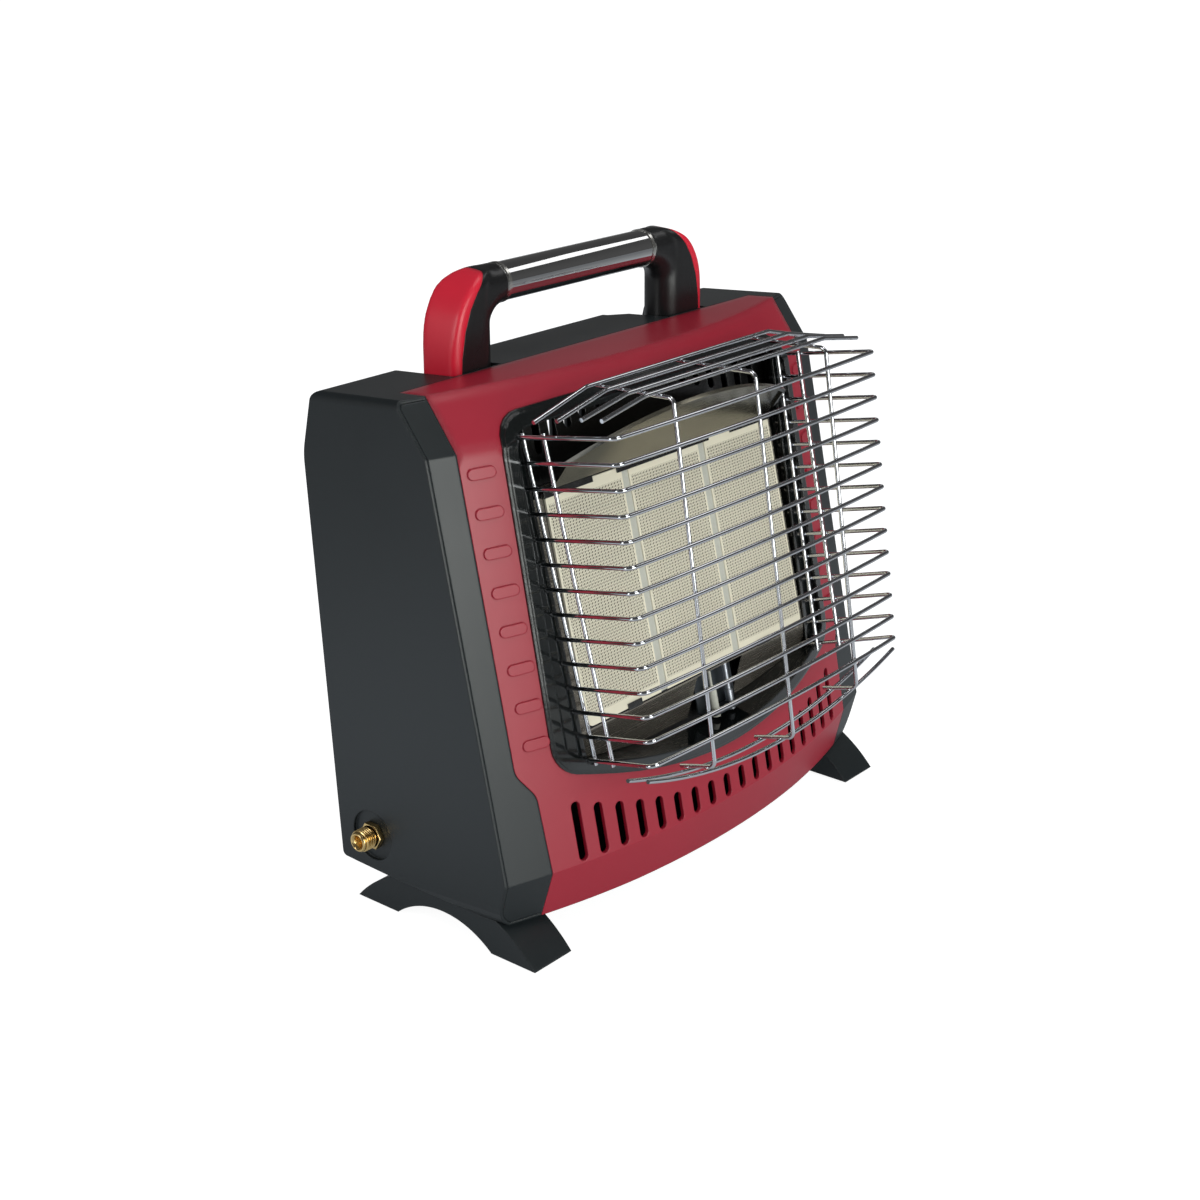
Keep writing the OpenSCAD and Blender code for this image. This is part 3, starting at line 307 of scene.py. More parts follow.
def moulded(name, dark, light, roughness, radius, scale=2200.0, depth=0.00002, edge_highlight=0.25, brow=None):
    """Grained plastic: tone drifts between two colours; the edges are painted paler, a painted highlight.

    Above the height brow its edges are rounded much more softly.
    """
    material, tree, shader = finish(name, roughness)
    grain = add(tree, "ShaderNodeGroup", -900, -100, node_tree=moulded_grain)
    grain.inputs["Scale"].default_value = scale
    grain.inputs["Roughness"].default_value = roughness
    edges = add(tree, "ShaderNodeGroup", -900, -350, node_tree=rounded_edges)
    edges.inputs["Radius"].default_value = radius
    if brow is not None:
        place = add(tree, "ShaderNodeTexCoord", -1500, -350)
        height = add(tree, "ShaderNodeSeparateXYZ", -1300, -350)
        link(tree, place.outputs["Object"], height.inputs[0])
        softer = ramp(tree, height.outputs["Z"], brow, brow + brow_fade, radius, brow_radius, -1100, -350)
        link(tree, softer, edges.inputs["Radius"])
    # Painted highlight: the edges are mixed towards a paler copy of the light colour.
    edge_highlight_mix = add(tree, "ShaderNodeMix", -350, 200, data_type="RGBA")
    link(tree, maths(tree, "MULTIPLY", edges.outputs["Edge"], edge_highlight, x=-600, y=0), edge_highlight_mix.inputs[0])
    link(tree, mixed(tree, dark, light, grain.outputs["Drift"], -600, 200), edge_highlight_mix.inputs[6])
    edge_highlight_mix.inputs[7].default_value = (*[min(1.0, c * 1.8 + 0.01) for c in light], 1)
    link(tree, edge_highlight_mix.outputs[2], shader.inputs["Base Color"])
    link(tree, grain.outputs["Roughness"], shader.inputs["Roughness"])
    bump = add(tree, "ShaderNodeBump", -300, -300)
    bump.inputs["Strength"].default_value = 0.6
    bump.inputs["Distance"].default_value = depth
    link(tree, grain.outputs["Height"], bump.inputs["Height"])
    link(tree, edges.outputs["Normal"], bump.inputs["Normal"])
    link(tree, bump.outputs["Normal"], shader.inputs["Normal"])
    return material


def paint(material, *names):
    """Gives CAD nodes a finish through their own material slots."""
    for name in names:
        for slot in nodes[name].material_slots:
            slot.material = material


black_polypropylene = moulded(
    "black_polypropylene", (0.006, 0.009, 0.010), (0.010, 0.014, 0.016), 0.42, 0.0014,
)
paint(black_polypropylene, "rear_shell", "front_frame")


# ---- Front panel -------------------------------------------------------------
# Crimson skin moulded in one piece, with air slots and rows of raised ribs.
# Smoother than the housing, and clipped over the front frame.
crimson = moulded(
    "crimson_plastic", (0.26, 0.006, 0.019), (0.30, 0.008, 0.024), 0.38, 0.0009,
    depth=0.000012, edge_highlight=0.12, brow=0.270,
)
paint(crimson, "front_panel")


# ---- Window surround ---------------------------------------------------------
# Pressed steel rim and the heat plate behind it, both in black stove enamel:
# the rim is glossy, the plate is baked to a satin.
def enamel(name, colour, roughness, radius, ripple=0.00003):
    """Stove enamel: dark and smooth with a faint orange-peel ripple."""
    material, tree, shader = finish(name, roughness)
    shader.inputs["Coat Weight"].default_value = 0.5
    shader.inputs["Coat Roughness"].default_value = roughness * 0.6
    grain = add(tree, "ShaderNodeGroup", -700, -100, node_tree=moulded_grain)
    grain.inputs["Scale"].default_value = 420.0
    grain.inputs["Roughness"].default_value = roughness
    grain.inputs["Spread"].default_value = 0.08
    paler = [c * 1.6 for c in colour]
    link(tree, mixed(tree, colour, paler, grain.outputs["Drift"]), shader.inputs["Base Color"])
    link(tree, grain.outputs["Roughness"], shader.inputs["Roughness"])
    edges = add(tree, "ShaderNodeGroup", -700, -350, node_tree=rounded_edges)
    edges.inputs["Radius"].default_value = radius
    bump = add(tree, "ShaderNodeBump", -300, -300)
    bump.inputs["Strength"].default_value = 0.4
    bump.inputs["Distance"].default_value = ripple
    link(tree, grain.outputs["Height"], bump.inputs["Height"])
    link(tree, edges.outputs["Normal"], bump.inputs["Normal"])
    link(tree, bump.outputs["Normal"], shader.inputs["Normal"])
    return material


gloss_enamel = enamel("gloss_enamel", (0.004, 0.005, 0.005), 0.08, 0.0015)
satin_enamel = enamel("satin_enamel", (0.008, 0.008, 0.008), 0.20, 0.0008)
paint(gloss_enamel, "window_bezel")
paint(satin_enamel, "heat_plate", "burner_frame")


# ---- Reflector and hood ------------------------------------------------------
# Thin stainless sheets round the burner. The arched hood above the tiles has
# gone straw and brown from the heat; the reflector is dull and dark. The small
# parts behind them are of zinc-plated or blued steel sheet.
# Painted shade: the dark colour that the hood's ends are mixed towards, and the width of the fade.
end_shade_colour, end_shade_fade = (0.05, 0.05, 0.045), 0.03


def heated_steel(name, cool, hot, roughness, ends=None):
    """Steel sheet with rolling lines and a tint that changes in slow patches.

    Towards the left and right ends, given as two places on X, it is painted darker: painted shade where the
    hood meets the heat plate.
    """
    material, tree, shader = finish(name, roughness, metallic=0.9)
    place = add(tree, "ShaderNodeTexCoord", -1100, 0)
    slow = add(tree, "ShaderNodeTexNoise", -800, 200)
    slow.inputs["Scale"].default_value = 11.0
    slow.inputs["Detail"].default_value = 3.0
    link(tree, place.outputs["Object"], slow.inputs["Vector"])
    colour = mixed(tree, cool, hot, slow.outputs["Fac"])
    if ends is not None:
        across = add(tree, "ShaderNodeSeparateXYZ", -1100, 500)
        link(tree, place.outputs["Object"], across.inputs[0])
        left_end = ramp(tree, across.outputs["X"], ends[0], ends[0] + end_shade_fade, 1.0, 0.0, -900, 500)
        right_end = ramp(tree, across.outputs["X"], ends[1] - end_shade_fade, ends[1], 0.0, 1.0, -900, 350)
        # Painted shade, darker towards both ends of the sheet.
        end_shade_mix = add(tree, "ShaderNodeMix", -200, 300, data_type="RGBA")
        end_shade_mix.inputs[7].default_value = (*end_shade_colour, 1)
        link(tree, maths(tree, "MAXIMUM", left_end, right_end, x=-700, y=450), end_shade_mix.inputs[0])
        link(tree, colour, end_shade_mix.inputs[6])
        colour = end_shade_mix.outputs[2]
    link(tree, colour, shader.inputs["Base Color"])
    stretch = add(tree, "ShaderNodeMapping", -900, -200)
    stretch.inputs["Scale"].default_value = (20.0, 900.0, 900.0)
    lines = add(tree, "ShaderNodeTexNoise", -700, -200)
    lines.inputs["Scale"].default_value = 1.0
    link(tree, place.outputs["Object"], stretch.inputs["Vector"])
    link(tree, stretch.outputs["Vector"], lines.inputs["Vector"])
    uneven = add(tree, "ShaderNodeMapRange", -480, -100)
    uneven.inputs["To Min"].default_value = roughness - 0.08
    uneven.inputs["To Max"].default_value = roughness + 0.1
    link(tree, lines.outputs["Fac"], uneven.inputs["Value"])
    link(tree, uneven.outputs["Result"], shader.inputs["Roughness"])
    bump = add(tree, "ShaderNodeBump", -300, -300)
    bump.inputs["Strength"].default_value = 0.15
    bump.inputs["Distance"].default_value = 0.000004
    link(tree, lines.outputs["Fac"], bump.inputs["Height"])
    link(tree, bump.outputs["Normal"], shader.inputs["Normal"])
    return material


hood_steel = heated_steel("hood_steel", (0.29, 0.27, 0.215), (0.17, 0.155, 0.11), 0.16, ends=(-0.075, 0.098))
reflector_steel = heated_steel("reflector_steel", (0.48, 0.44, 0.37), (0.26, 0.23, 0.19), 0.24)
zinc_steel = heated_steel("zinc_steel", (0.42, 0.44, 0.48), (0.34, 0.36, 0.40), 0.36)
blued_steel = heated_steel("blued_steel", (0.10, 0.115, 0.13), (0.05, 0.055, 0.06), 0.30)
paint(hood_steel, "deflector")
paint(reflector_steel, "reflector", "burner_box")
paint(
    zinc_steel, "tilt_switch", "mixing_tube", "thermocouple",
    "valve_plunger", "valve_spindle", "handle_pins",
)
paint(blued_steel, "ignition_bracket")


# ---- Ceramic tiles -----------------------------------------------------------
# Three cream cordierite plates with thousands of pores in staggered rows, each
# inside a plain margin. The pores hold painted shade, lighter in every other pore.
# Grey fibre putty seals the joints between the plates.
tile_pitch, field_half = 0.0698, 0.0305
row_pitch, hole_pitch, hole_r, hole_rim = 0.00169, 0.00129, 0.00049, 0.0001
narrowed, drawn_out = 1.3, 0.72
field_top, field_low = -0.0063, -0.1255
# Strength of the painted shade in every other pore.
lighter_pore_shade = 0.55
lean = math.radians(13.3)
burner_origin = Vector((0, -0.00854, 0.2472))

ceramic, tree, shader = finish("cordierite_tile", 0.85)
place = add(tree, "ShaderNodeTexCoord", -2200, 0)
plane = add(tree, "ShaderNodeMapping", -2000, 0)
laid_flat = -(math.pi / 2 - lean)
plane.inputs["Rotation"].default_value = (laid_flat, 0, 0)
plane.inputs["Location"].default_value = Matrix.Rotation(laid_flat, 3, "X") @ -burner_origin
link(tree, place.outputs["Object"], plane.inputs["Vector"])
face = add(tree, "ShaderNodeSeparateXYZ", -1800, 0)
link(tree, plane.outputs["Vector"], face.inputs[0])
u = maths(tree, "WRAP", face.outputs["X"], tile_pitch / 2, -tile_pitch / 2, x=-1600, y=200)
v = face.outputs["Y"]
row = maths(tree, "DIVIDE", v, row_pitch, x=-1400, y=-100)
row_number = maths(tree, "FLOOR", row, x=-1200, y=-200)
odd = maths(tree, "FLOORED_MODULO", row_number, 2.0, x=-1000, y=-200)
stagger = maths(tree, "MULTIPLY", odd, 0.5, x=-800, y=-200)
along_row = maths(tree, "ADD", maths(tree, "DIVIDE", u, hole_pitch, x=-1200, y=200), stagger, x=-600, y=100)
u_part = maths(tree, "SUBTRACT", maths(tree, "FRACT", along_row, x=-400, y=200), 0.5, x=-200, y=200)
v_part = maths(tree, "SUBTRACT", maths(tree, "FRACT", row, x=-400, y=0), 0.5, x=-200, y=0)
du = maths(tree, "MULTIPLY", u_part, hole_pitch * narrowed, x=0, y=200)
dv = maths(tree, "MULTIPLY", v_part, row_pitch * drawn_out, x=0, y=0)
du_2 = maths(tree, "MULTIPLY", du, du, x=200, y=200)
dv_2 = maths(tree, "MULTIPLY", dv, dv, x=200, y=0)
far = maths(tree, "SQRT", maths(tree, "ADD", du_2, dv_2, x=400, y=100), x=600, y=100)
pore = ramp(tree, far, hole_r - hole_rim, hole_r + hole_rim, 1.0, 0.0, 800, 100)
inside = maths(tree, "LESS_THAN", maths(tree, "ABSOLUTE", u, x=200, y=-300), field_half, x=400, y=-300)
below = maths(tree, "LESS_THAN", v, field_top, x=400, y=-450)
above = maths(tree, "GREATER_THAN", v, field_low, x=400, y=-600)
field = maths(tree, "MULTIPLY", inside, below, x=600, y=-350)
field = maths(tree, "MULTIPLY", field, above, x=800, y=-400)
# Every other pore along a row gets a lighter painted shade.
other = maths(tree, "FLOORED_MODULO", maths(tree, "FLOOR", along_row, x=-400, y=400), 2.0, x=-200, y=400)
pore_shade_amount = maths(tree, "MULTIPLY_ADD", other, 1 - lighter_pore_shade, lighter_pore_shade, x=0, y=400)
holes = maths(tree, "MULTIPLY", maths(tree, "MULTIPLY", pore, pore_shade_amount, x=900, y=200), field, x=1000, y=0)
grain = add(tree, "ShaderNodeGroup", 800, 500, node_tree=moulded_grain)
grain.inputs["Scale"].default_value = 1800.0
cream = mixed(tree, (0.67, 0.625, 0.49), (0.74, 0.695, 0.56), grain.outputs["Drift"], 1050, 500)
# Painted shade: the pores are painted nearly black.
pore_shade_mix = add(tree, "ShaderNodeMix", 1200, 300, data_type="RGBA")
pore_shade_mix.inputs[7].default_value = (0.022, 0.014, 0.005, 1)
link(tree, holes, pore_shade_mix.inputs[0])
link(tree, cream, pore_shade_mix.inputs[6])
link(tree, pore_shade_mix.outputs[2], shader.inputs["Base Color"])
grit = maths(tree, "MULTIPLY", grain.outputs["Height"], 0.12, x=1000, y=-200)
high = maths(tree, "SUBTRACT", grit, holes, x=1200, y=-200)
bump = add(tree, "ShaderNodeBump", 1400, -200)
bump.inputs["Strength"].default_value = 0.8
bump.inputs["Distance"].default_value = 0.0004
link(tree, high, bump.inputs["Height"])
link(tree, bump.outputs["Normal"], shader.inputs["Normal"])
paint(ceramic, "tile_left", "tile_middle", "tile_right")

putty, tree, shader = finish("fibre_putty", 0.9)
grain = add(tree, "ShaderNodeGroup", -700, 0, node_tree=moulded_grain)
grain.inputs["Scale"].default_value = 900.0
grey = mixed(tree, (0.40, 0.40, 0.35), (0.52, 0.52, 0.46), grain.outputs["Height"])
link(tree, grey, shader.inputs["Base Color"])
bump = add(tree, "ShaderNodeBump", -300, -200)
bump.inputs["Distance"].default_value = 0.0003
link(tree, grain.outputs["Height"], bump.inputs["Height"])
link(tree, bump.outputs["Normal"], shader.inputs["Normal"])
paint(putty, "tile_joints", "ignition_electrode")


# ---- Gas fittings ------------------------------------------------------------
# Turned brass: the threaded inlet with its hexagon and lock nut, the pipes, the
# injector and the valve inside. Dulled in small patches by handling.
brass, tree, shader = finish("turned_brass", 0.24, metallic=1.0)
place = add(tree, "ShaderNodeTexCoord", -1100, 0)
slow = add(tree, "ShaderNodeTexNoise", -800, 200)
slow.inputs["Scale"].default_value = 160.0
slow.inputs["Detail"].default_value = 5.0
link(tree, place.outputs["Object"], slow.inputs["Vector"])
golden = mixed(tree, (0.74, 0.50, 0.19), (0.86, 0.64, 0.30), slow.outputs["Fac"])
link(tree, golden, shader.inputs["Base Color"])
uneven = add(tree, "ShaderNodeMapRange", -480, -100)
uneven.inputs["To Min"].default_value = 0.16
uneven.inputs["To Max"].default_value = 0.36
link(tree, slow.outputs["Fac"], uneven.inputs["Value"])
link(tree, uneven.outputs["Result"], shader.inputs["Roughness"])
paint(brass, "injector", "gas_pipe", "supply_pipe", "inlet_fitting", "inlet_nut", "valve_body")

# Inlet from its mouth inwards: coned bore, rounded lip, thread, hexagon and a
# stub that the lock nut takes inside the shell.
thread_r, thread_root, thread_pitch, thread_turns = 0.00658, 0.00578, 0.001337, 5
ridge_r, ridge_along, ridge_out, ridge_start = 0.0006, 1.16, 1.28, 0.0020
hexagon_flats, hexagon_start, hexagon_end = 0.0144, 0.0101, 0.0137
bore_r, groove_r, shank_r = 0.0030, 0.0054, 0.0066
inlet_low, inlet_high = (Vector(corner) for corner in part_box("inlet_fitting"))
mouth = Vector((inlet_low.x, (inlet_low.y + inlet_high.y) / 2, (inlet_low.z + inlet_high.z) / 2))
inlet_length = inlet_high.x - inlet_low.x


def turned(name, start, profile, segments=48):
    """A lathed ring along +X, extruded and scaled from step to step of profile."""
    bpy.ops.object.select_all(action="DESELECT")
    along, radius = profile[0]
    bpy.ops.mesh.primitive_circle_add(
        vertices=segments, radius=radius, fill_type="NOTHING",
        location=start + Vector((along, 0, 0)), rotation=(0, math.pi / 2, 0),
    )
    piece = bpy.context.active_object
    piece.name = name
    bpy.ops.object.transform_apply(location=True, rotation=True, scale=True)
    bpy.ops.object.mode_set(mode="EDIT")
    bpy.ops.mesh.select_all(action="SELECT")
    for (t0, r0), (t1, r1) in zip(profile, profile[1:] + profile[:1]):
        bpy.ops.mesh.extrude_region_move(TRANSFORM_OT_translate={"value": (t1 - t0, 0, 0)})
        bpy.ops.transform.resize(value=(1, r1 / r0, r1 / r0), center_override=start + Vector((t1, 0, 0)))
    bpy.ops.mesh.select_all(action="SELECT")
    bpy.ops.mesh.remove_doubles(threshold=0.000002)
    bpy.ops.mesh.normals_make_consistent(inside=False)
    bpy.ops.object.mode_set(mode="OBJECT")
    return piece


def join(first, *others):
    """Joins the other pieces into the first."""
    bpy.ops.object.select_all(action="DESELECT")
    for piece in (first, *others):
        piece.select_set(True)
    bpy.context.view_layer.objects.active = first
    bpy.ops.object.join()


inlet_profile = [
    (0.0022, bore_r), (0.0003, 0.0042), (0.0, 0.0046), (0.0, 0.0051), (0.0003, 0.0055), (0.0009, 0.0059),
    (0.0016, 0.0059), (0.0018, thread_root), (0.0096, thread_root), (0.0097, groove_r),
    (hexagon_start, groove_r), (hexagon_start, shank_r), (hexagon_end, shank_r),
    (inlet_length - 0.0008, shank_r), (inlet_length, 0.0058), (inlet_length, bore_r),
]
body = turned("inlet_body", mouth, inlet_profile)

bpy.ops.object.select_all(action="DESELECT")
bpy.ops.mesh.primitive_cylinder_add(
    vertices=6, radius=hexagon_flats / math.sqrt(3), depth=hexagon_end - hexagon_start,
    location=mouth + Vector(((hexagon_start + hexagon_end) / 2, 0, 0)), rotation=(0, math.pi / 2, 0),
)
hexagon = bpy.context.active_object
bpy.ops.object.transform_apply(location=True, rotation=True, scale=True)
bpy.ops.object.mode_set(mode="EDIT")
bpy.ops.mesh.select_all(action="SELECT")
bpy.ops.mesh.bevel(offset=0.0004, segments=2, affect="EDGES")
bpy.ops.object.mode_set(mode="OBJECT")

bpy.ops.object.select_all(action="DESELECT")
bpy.ops.mesh.primitive_circle_add(
    vertices=3, radius=ridge_r, fill_type="NOTHING", location=mouth + Vector((ridge_start, 0, 0)),
)
ridge = bpy.context.active_object
bpy.ops.object.mode_set(mode="EDIT")
bpy.ops.mesh.select_all(action="SELECT")
bpy.ops.transform.resize(value=(ridge_along, ridge_out, 1))
bpy.ops.transform.translate(value=(0, thread_r - ridge_r * ridge_out, 0))
bpy.ops.object.mode_set(mode="OBJECT")
wind = ridge.modifiers.new("wind", "SCREW")
wind.axis = "X"
wind.steps = wind.render_steps = 40
wind.iterations = thread_turns
wind.screw_offset = thread_pitch
wind.use_normal_calculate = True
bpy.ops.object.modifier_apply(modifier="wind")
bpy.ops.object.transform_apply(location=True, rotation=True, scale=True)
bpy.ops.object.mode_set(mode="EDIT")
bpy.ops.mesh.select_all(action="DESELECT")
bpy.ops.mesh.select_mode(type="EDGE")
bpy.ops.mesh.select_non_manifold()
bpy.ops.mesh.fill()
bpy.ops.mesh.select_all(action="SELECT")
bpy.ops.mesh.normals_make_consistent(inside=False)
bpy.ops.object.mode_set(mode="OBJECT")

join(body, hexagon, ridge)
bpy.ops.object.shade_smooth_by_angle(angle=math.radians(35))
body.name = "gas_inlet"
body.data.materials.clear()
body.data.materials.append(brass)
bpy.ops.object.transform_apply(location=True, rotation=True, scale=True)
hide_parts("inlet_fitting")
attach(body, "heater")


# ---- Guard -------------------------------------------------------------------
# Cold-drawn steel wire, bent, spot-welded and chrome-plated. Bright, with a
# faint haze in the plating.
def plated(name, colour, roughness, scale):
    """Chrome or zinc plate: a haze changes its tone and roughness a little."""
    material, tree, shader = finish(name, roughness, metallic=1.0)
    place = add(tree, "ShaderNodeTexCoord", -1100, 0)
    haze = add(tree, "ShaderNodeTexNoise", -800, 0)
    haze.inputs["Scale"].default_value = scale
    haze.inputs["Detail"].default_value = 4.0
    link(tree, place.outputs["Object"], haze.inputs["Vector"])
    hazed = [c * 0.9 for c in colour]
    link(tree, mixed(tree, hazed, colour, haze.outputs["Fac"]), shader.inputs["Base Color"])
    uneven = add(tree, "ShaderNodeMapRange", -480, -100)
    uneven.inputs["To Min"].default_value = roughness * 0.6
    uneven.inputs["To Max"].default_value = roughness * 1.5
    link(tree, haze.outputs["Fac"], uneven.inputs["Value"])
    link(tree, uneven.outputs["Result"], shader.inputs["Roughness"])
    return material


wire_chrome = plated("wire_chrome", (0.70, 0.71, 0.74), 0.07, 300.0)
paint(
    wire_chrome, "guard_bars", "guard_post_left", "guard_post_middle", "guard_post_right",
    "guard_side_rods", "guard_top_rods", "guard_bottom_rods",
)


# ---- Handle ------------------------------------------------------------------
# Chromed steel tube held in two black arms with crimson caps. The arms turn on
# steel pins, so that the handle folds back over the rear shell.
tube_chrome = plated("tube_chrome", (0.70, 0.70, 0.70), 0.05, 60.0)
ring_steel = plated("ring_steel", (0.80, 0.79, 0.75), 0.22, 200.0)
paint(tube_chrome, "handle_grip")
paint(ring_steel, "grip_rings")
arm_black = moulded("arm_black", (0.006, 0.006, 0.006), (0.009, 0.009, 0.010), 0.28, 0.0008)
cap_crimson = moulded(
    "cap_crimson", (0.54, 0.008, 0.026), (0.60, 0.010, 0.032), 0.34, 0.0025, depth=0.000008, edge_highlight=0.1,
)

arm_low_corner, arm_high_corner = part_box("handle_arm_right")
arm_y = (arm_low_corner.y + arm_high_corner.y) / 2
column_r = (arm_high_corner.y - arm_low_corner.y) / 2
arm_in, arm_out = 0.0748, arm_high_corner.x
arm_bottom, arm_top = arm_low_corner.z, arm_high_corner.z
grip_end, sleeve_r, sleeve_length = arm_low_corner.x, 0.0114, 0.022


def select_by(piece, kind, test):
    """In edit mode: selects the verts, edges or faces whose places pass the test."""
    bpy.ops.mesh.select_all(action="DESELECT")
    bpy.ops.mesh.select_mode(type=kind)
    bpy.ops.object.mode_set(mode="OBJECT")
    mesh = piece.data
    group = {"VERT": mesh.vertices, "EDGE": mesh.edges, "FACE": mesh.polygons}[kind]
    for item in group:
        places = [mesh.vertices[i].co for i in item.vertices] if kind != "VERT" else [item.co]
        item.select = test(places)
    bpy.ops.object.mode_set(mode="EDIT")


def block(name, low, high):
    """A box between two corners, left in edit mode."""
    low, high = Vector(low), Vector(high)
    bpy.ops.object.select_all(action="DESELECT")
    bpy.ops.mesh.primitive_cube_add(size=1, location=(low + high) / 2, scale=high - low)
    piece = bpy.context.active_object
    piece.name = name
    bpy.ops.object.transform_apply(location=True, rotation=True, scale=True)
    bpy.ops.object.mode_set(mode="EDIT")
    return piece


def modify(piece, kind, **settings):
    """Adds one modifier and applies it."""
    modifier = piece.modifiers.new(kind.lower(), kind)
    for key, value in settings.items():
        setattr(modifier, key, value)
    bpy.context.view_layer.objects.active = piece
    bpy.ops.object.modifier_apply(modifier=modifier.name)


def cut_off(point, normal):
    """In edit mode: cuts the whole piece at a plane, and closes it again."""
    bpy.ops.mesh.select_all(action="SELECT")
    bpy.ops.mesh.bisect(plane_co=point, plane_no=normal, use_fill=True, clear_outer=True)


# Column: its inner side is half round, its outer corners are softer at the
# front than at the back, and its foot and head are rounded from front to back.
front_y, back_y = arm_y - column_r, arm_y + column_r
inner_round, front_round, back_round = column_r * 0.96, 0.0075, 0.0035
foot_round, head_round, round_cuts = column_r * 0.9, column_r * 0.85, 5
upright, close = 0.05, 1e-5
column = block("column", (arm_in, front_y, arm_bottom), (arm_out, back_y, arm_top))
for at_x, at_y, rounding in (
    (arm_in, None, inner_round), (arm_out, front_y, front_round), (arm_out, back_y, back_round),
):
    select_by(column, "EDGE", lambda ends: abs(ends[0].z - ends[1].z) > upright and all(
        abs(co.x - at_x) < close and (at_y is None or abs(co.y - at_y) < close) for co in ends
    ))
    bpy.ops.mesh.bevel(offset=rounding, segments=8, affect="EDGES")
for at_z, outward, rounding in ((arm_bottom, -1, foot_round), (arm_top, 1, head_round)):
    for side in (-1, 1):
        centre = Vector((0, arm_y + side * (column_r - rounding), at_z - outward * rounding))
        for k in range(1, round_cuts):
            turned_by = math.radians(90 * k / round_cuts)
            normal = Vector((0, side * math.sin(turned_by), outward * math.cos(turned_by)))
            cut_off(centre + normal * rounding, normal)
bpy.ops.object.mode_set(mode="OBJECT")

# Elbow, swept a quarter turn from the column to the grip and tapered on the way,
# and the straight sleeve that holds the grip.
bend_r, bend_steps = arm_in + column_r - grip_end, 12
elbow_r = column_r - 0.0005
sleeve_z = arm_top - sleeve_r
bpy.ops.object.select_all(action="DESELECT")
bpy.ops.mesh.primitive_circle_add(
    vertices=40, radius=elbow_r, fill_type="NGON", location=(arm_in + column_r, arm_y, sleeve_z - bend_r),
)
elbow = bpy.context.active_object
bpy.ops.object.transform_apply(location=True, rotation=True, scale=True)
bpy.ops.object.mode_set(mode="EDIT")
bpy.ops.mesh.select_all(action="SELECT")
for k in range(bend_steps):
    bpy.ops.mesh.spin(
        steps=1, angle=math.radians(90 / bend_steps),
        center=(grip_end, arm_y, sleeve_z - bend_r), axis=(0, 1, 0),
    )
    bpy.ops.transform.resize(value=[(sleeve_r / elbow_r) ** (1 / bend_steps)] * 3)
bpy.ops.mesh.select_all(action="SELECT")
bpy.ops.mesh.normals_make_consistent(inside=False)
bpy.ops.object.mode_set(mode="OBJECT")
bpy.ops.object.select_all(action="DESELECT")
bpy.ops.mesh.primitive_cylinder_add(
    vertices=48, radius=sleeve_r, depth=sleeve_length,
    location=(grip_end + sleeve_length / 2, arm_y, sleeve_z), rotation=(0, math.pi / 2, 0),
)
sleeve = bpy.context.active_object
bpy.ops.object.transform_apply(location=True, rotation=True, scale=True)
join(column, elbow, sleeve)

# Shoulder: cut along a quarter of a superellipse, from the outer side over to
# the top. The cuts lean in towards the front, more and more as they climb.
shoulder_x, shoulder_z, shoulder_power = 0.066, 0.300, 2.7
shoulder_cuts, first_angle, angle_step = 24, 2, 3.6
first_lean, more_lean = 0.07, 0.004
first_hinge, hinge_step = 0.8, 0.037
reach_x, reach_z = arm_out - shoulder_x, arm_top - shoulder_z
along_power, normal_power = 2 / shoulder_power, 2 - 2 / shoulder_power
bpy.ops.object.mode_set(mode="EDIT")
for k in range(shoulder_cuts):
    around = math.radians(first_angle + angle_step * k)
    c, s = math.cos(around), math.sin(around)
    normal = Vector((c ** normal_power / reach_x, 0, s ** normal_power / reach_z)).normalized()
    normal.y = -(first_lean + more_lean * k) * normal.x
    on_line = (
        shoulder_x + reach_x * c ** along_power, arm_y + column_r * (first_hinge - hinge_step * k),
        shoulder_z + reach_z * s ** along_power,
    )
    cut_off(on_line, normal)
bpy.ops.object.mode_set(mode="OBJECT")

# The three pieces flow into one moulding.
modify(column, "REMESH", mode="VOXEL", voxel_size=0.0008, use_smooth_shade=True)
modify(column, "SMOOTH", factor=0.5, iterations=36)

# Cap: what lies outside a seam, in (height, place on X), that follows the
# shoulder a little further in.
seam_line = (
    (0.297, 0.1050), (0.312, 0.1042), (0.326, 0.1014), (0.3375, 0.0968),
    (0.346, 0.0912), (0.3525, 0.0850), (0.3600, 0.0765),
)
cutter_x, cutter_y, cutter_deep = 0.130, 0.0201, 0.08
bpy.ops.object.select_all(action="DESELECT")
bpy.ops.mesh.primitive_grid_add(
    x_subdivisions=1, y_subdivisions=len(seam_line) - 1, size=1, rotation=(math.pi / 2, 0, 0),
)
cutter = bpy.context.active_object
bpy.ops.object.transform_apply(location=True, rotation=True, scale=True)
bpy.ops.object.mode_set(mode="EDIT")
for k, (z, x) in enumerate(seam_line):
    from_z = -0.5 + k / (len(seam_line) - 1)
    for from_x, to_x in ((-0.5, x), (0.5, cutter_x)):
        corner = Vector((from_x, 0, from_z))
        select_by(cutter, "VERT", lambda at: (at[0] - corner).length < 1e-4)
        bpy.ops.transform.translate(value=(to_x - from_x, cutter_y, z - from_z))
bpy.ops.mesh.select_all(action="SELECT")
bpy.ops.mesh.extrude_region_move(TRANSFORM_OT_translate={"value": (0, cutter_deep, 0)})
bpy.ops.mesh.select_all(action="SELECT")
bpy.ops.mesh.normals_make_consistent(inside=False)
bpy.ops.object.mode_set(mode="OBJECT")

bpy.ops.object.select_all(action="DESELECT")
column.select_set(True)
bpy.context.view_layer.objects.active = column
bpy.ops.object.duplicate()
cap = bpy.context.active_object
modify(cap, "BOOLEAN", operation="INTERSECT", object=cutter, solver="EXACT")
modify(column, "BOOLEAN", operation="DIFFERENCE", object=cutter, solver="EXACT")
bpy.data.objects.remove(cutter)

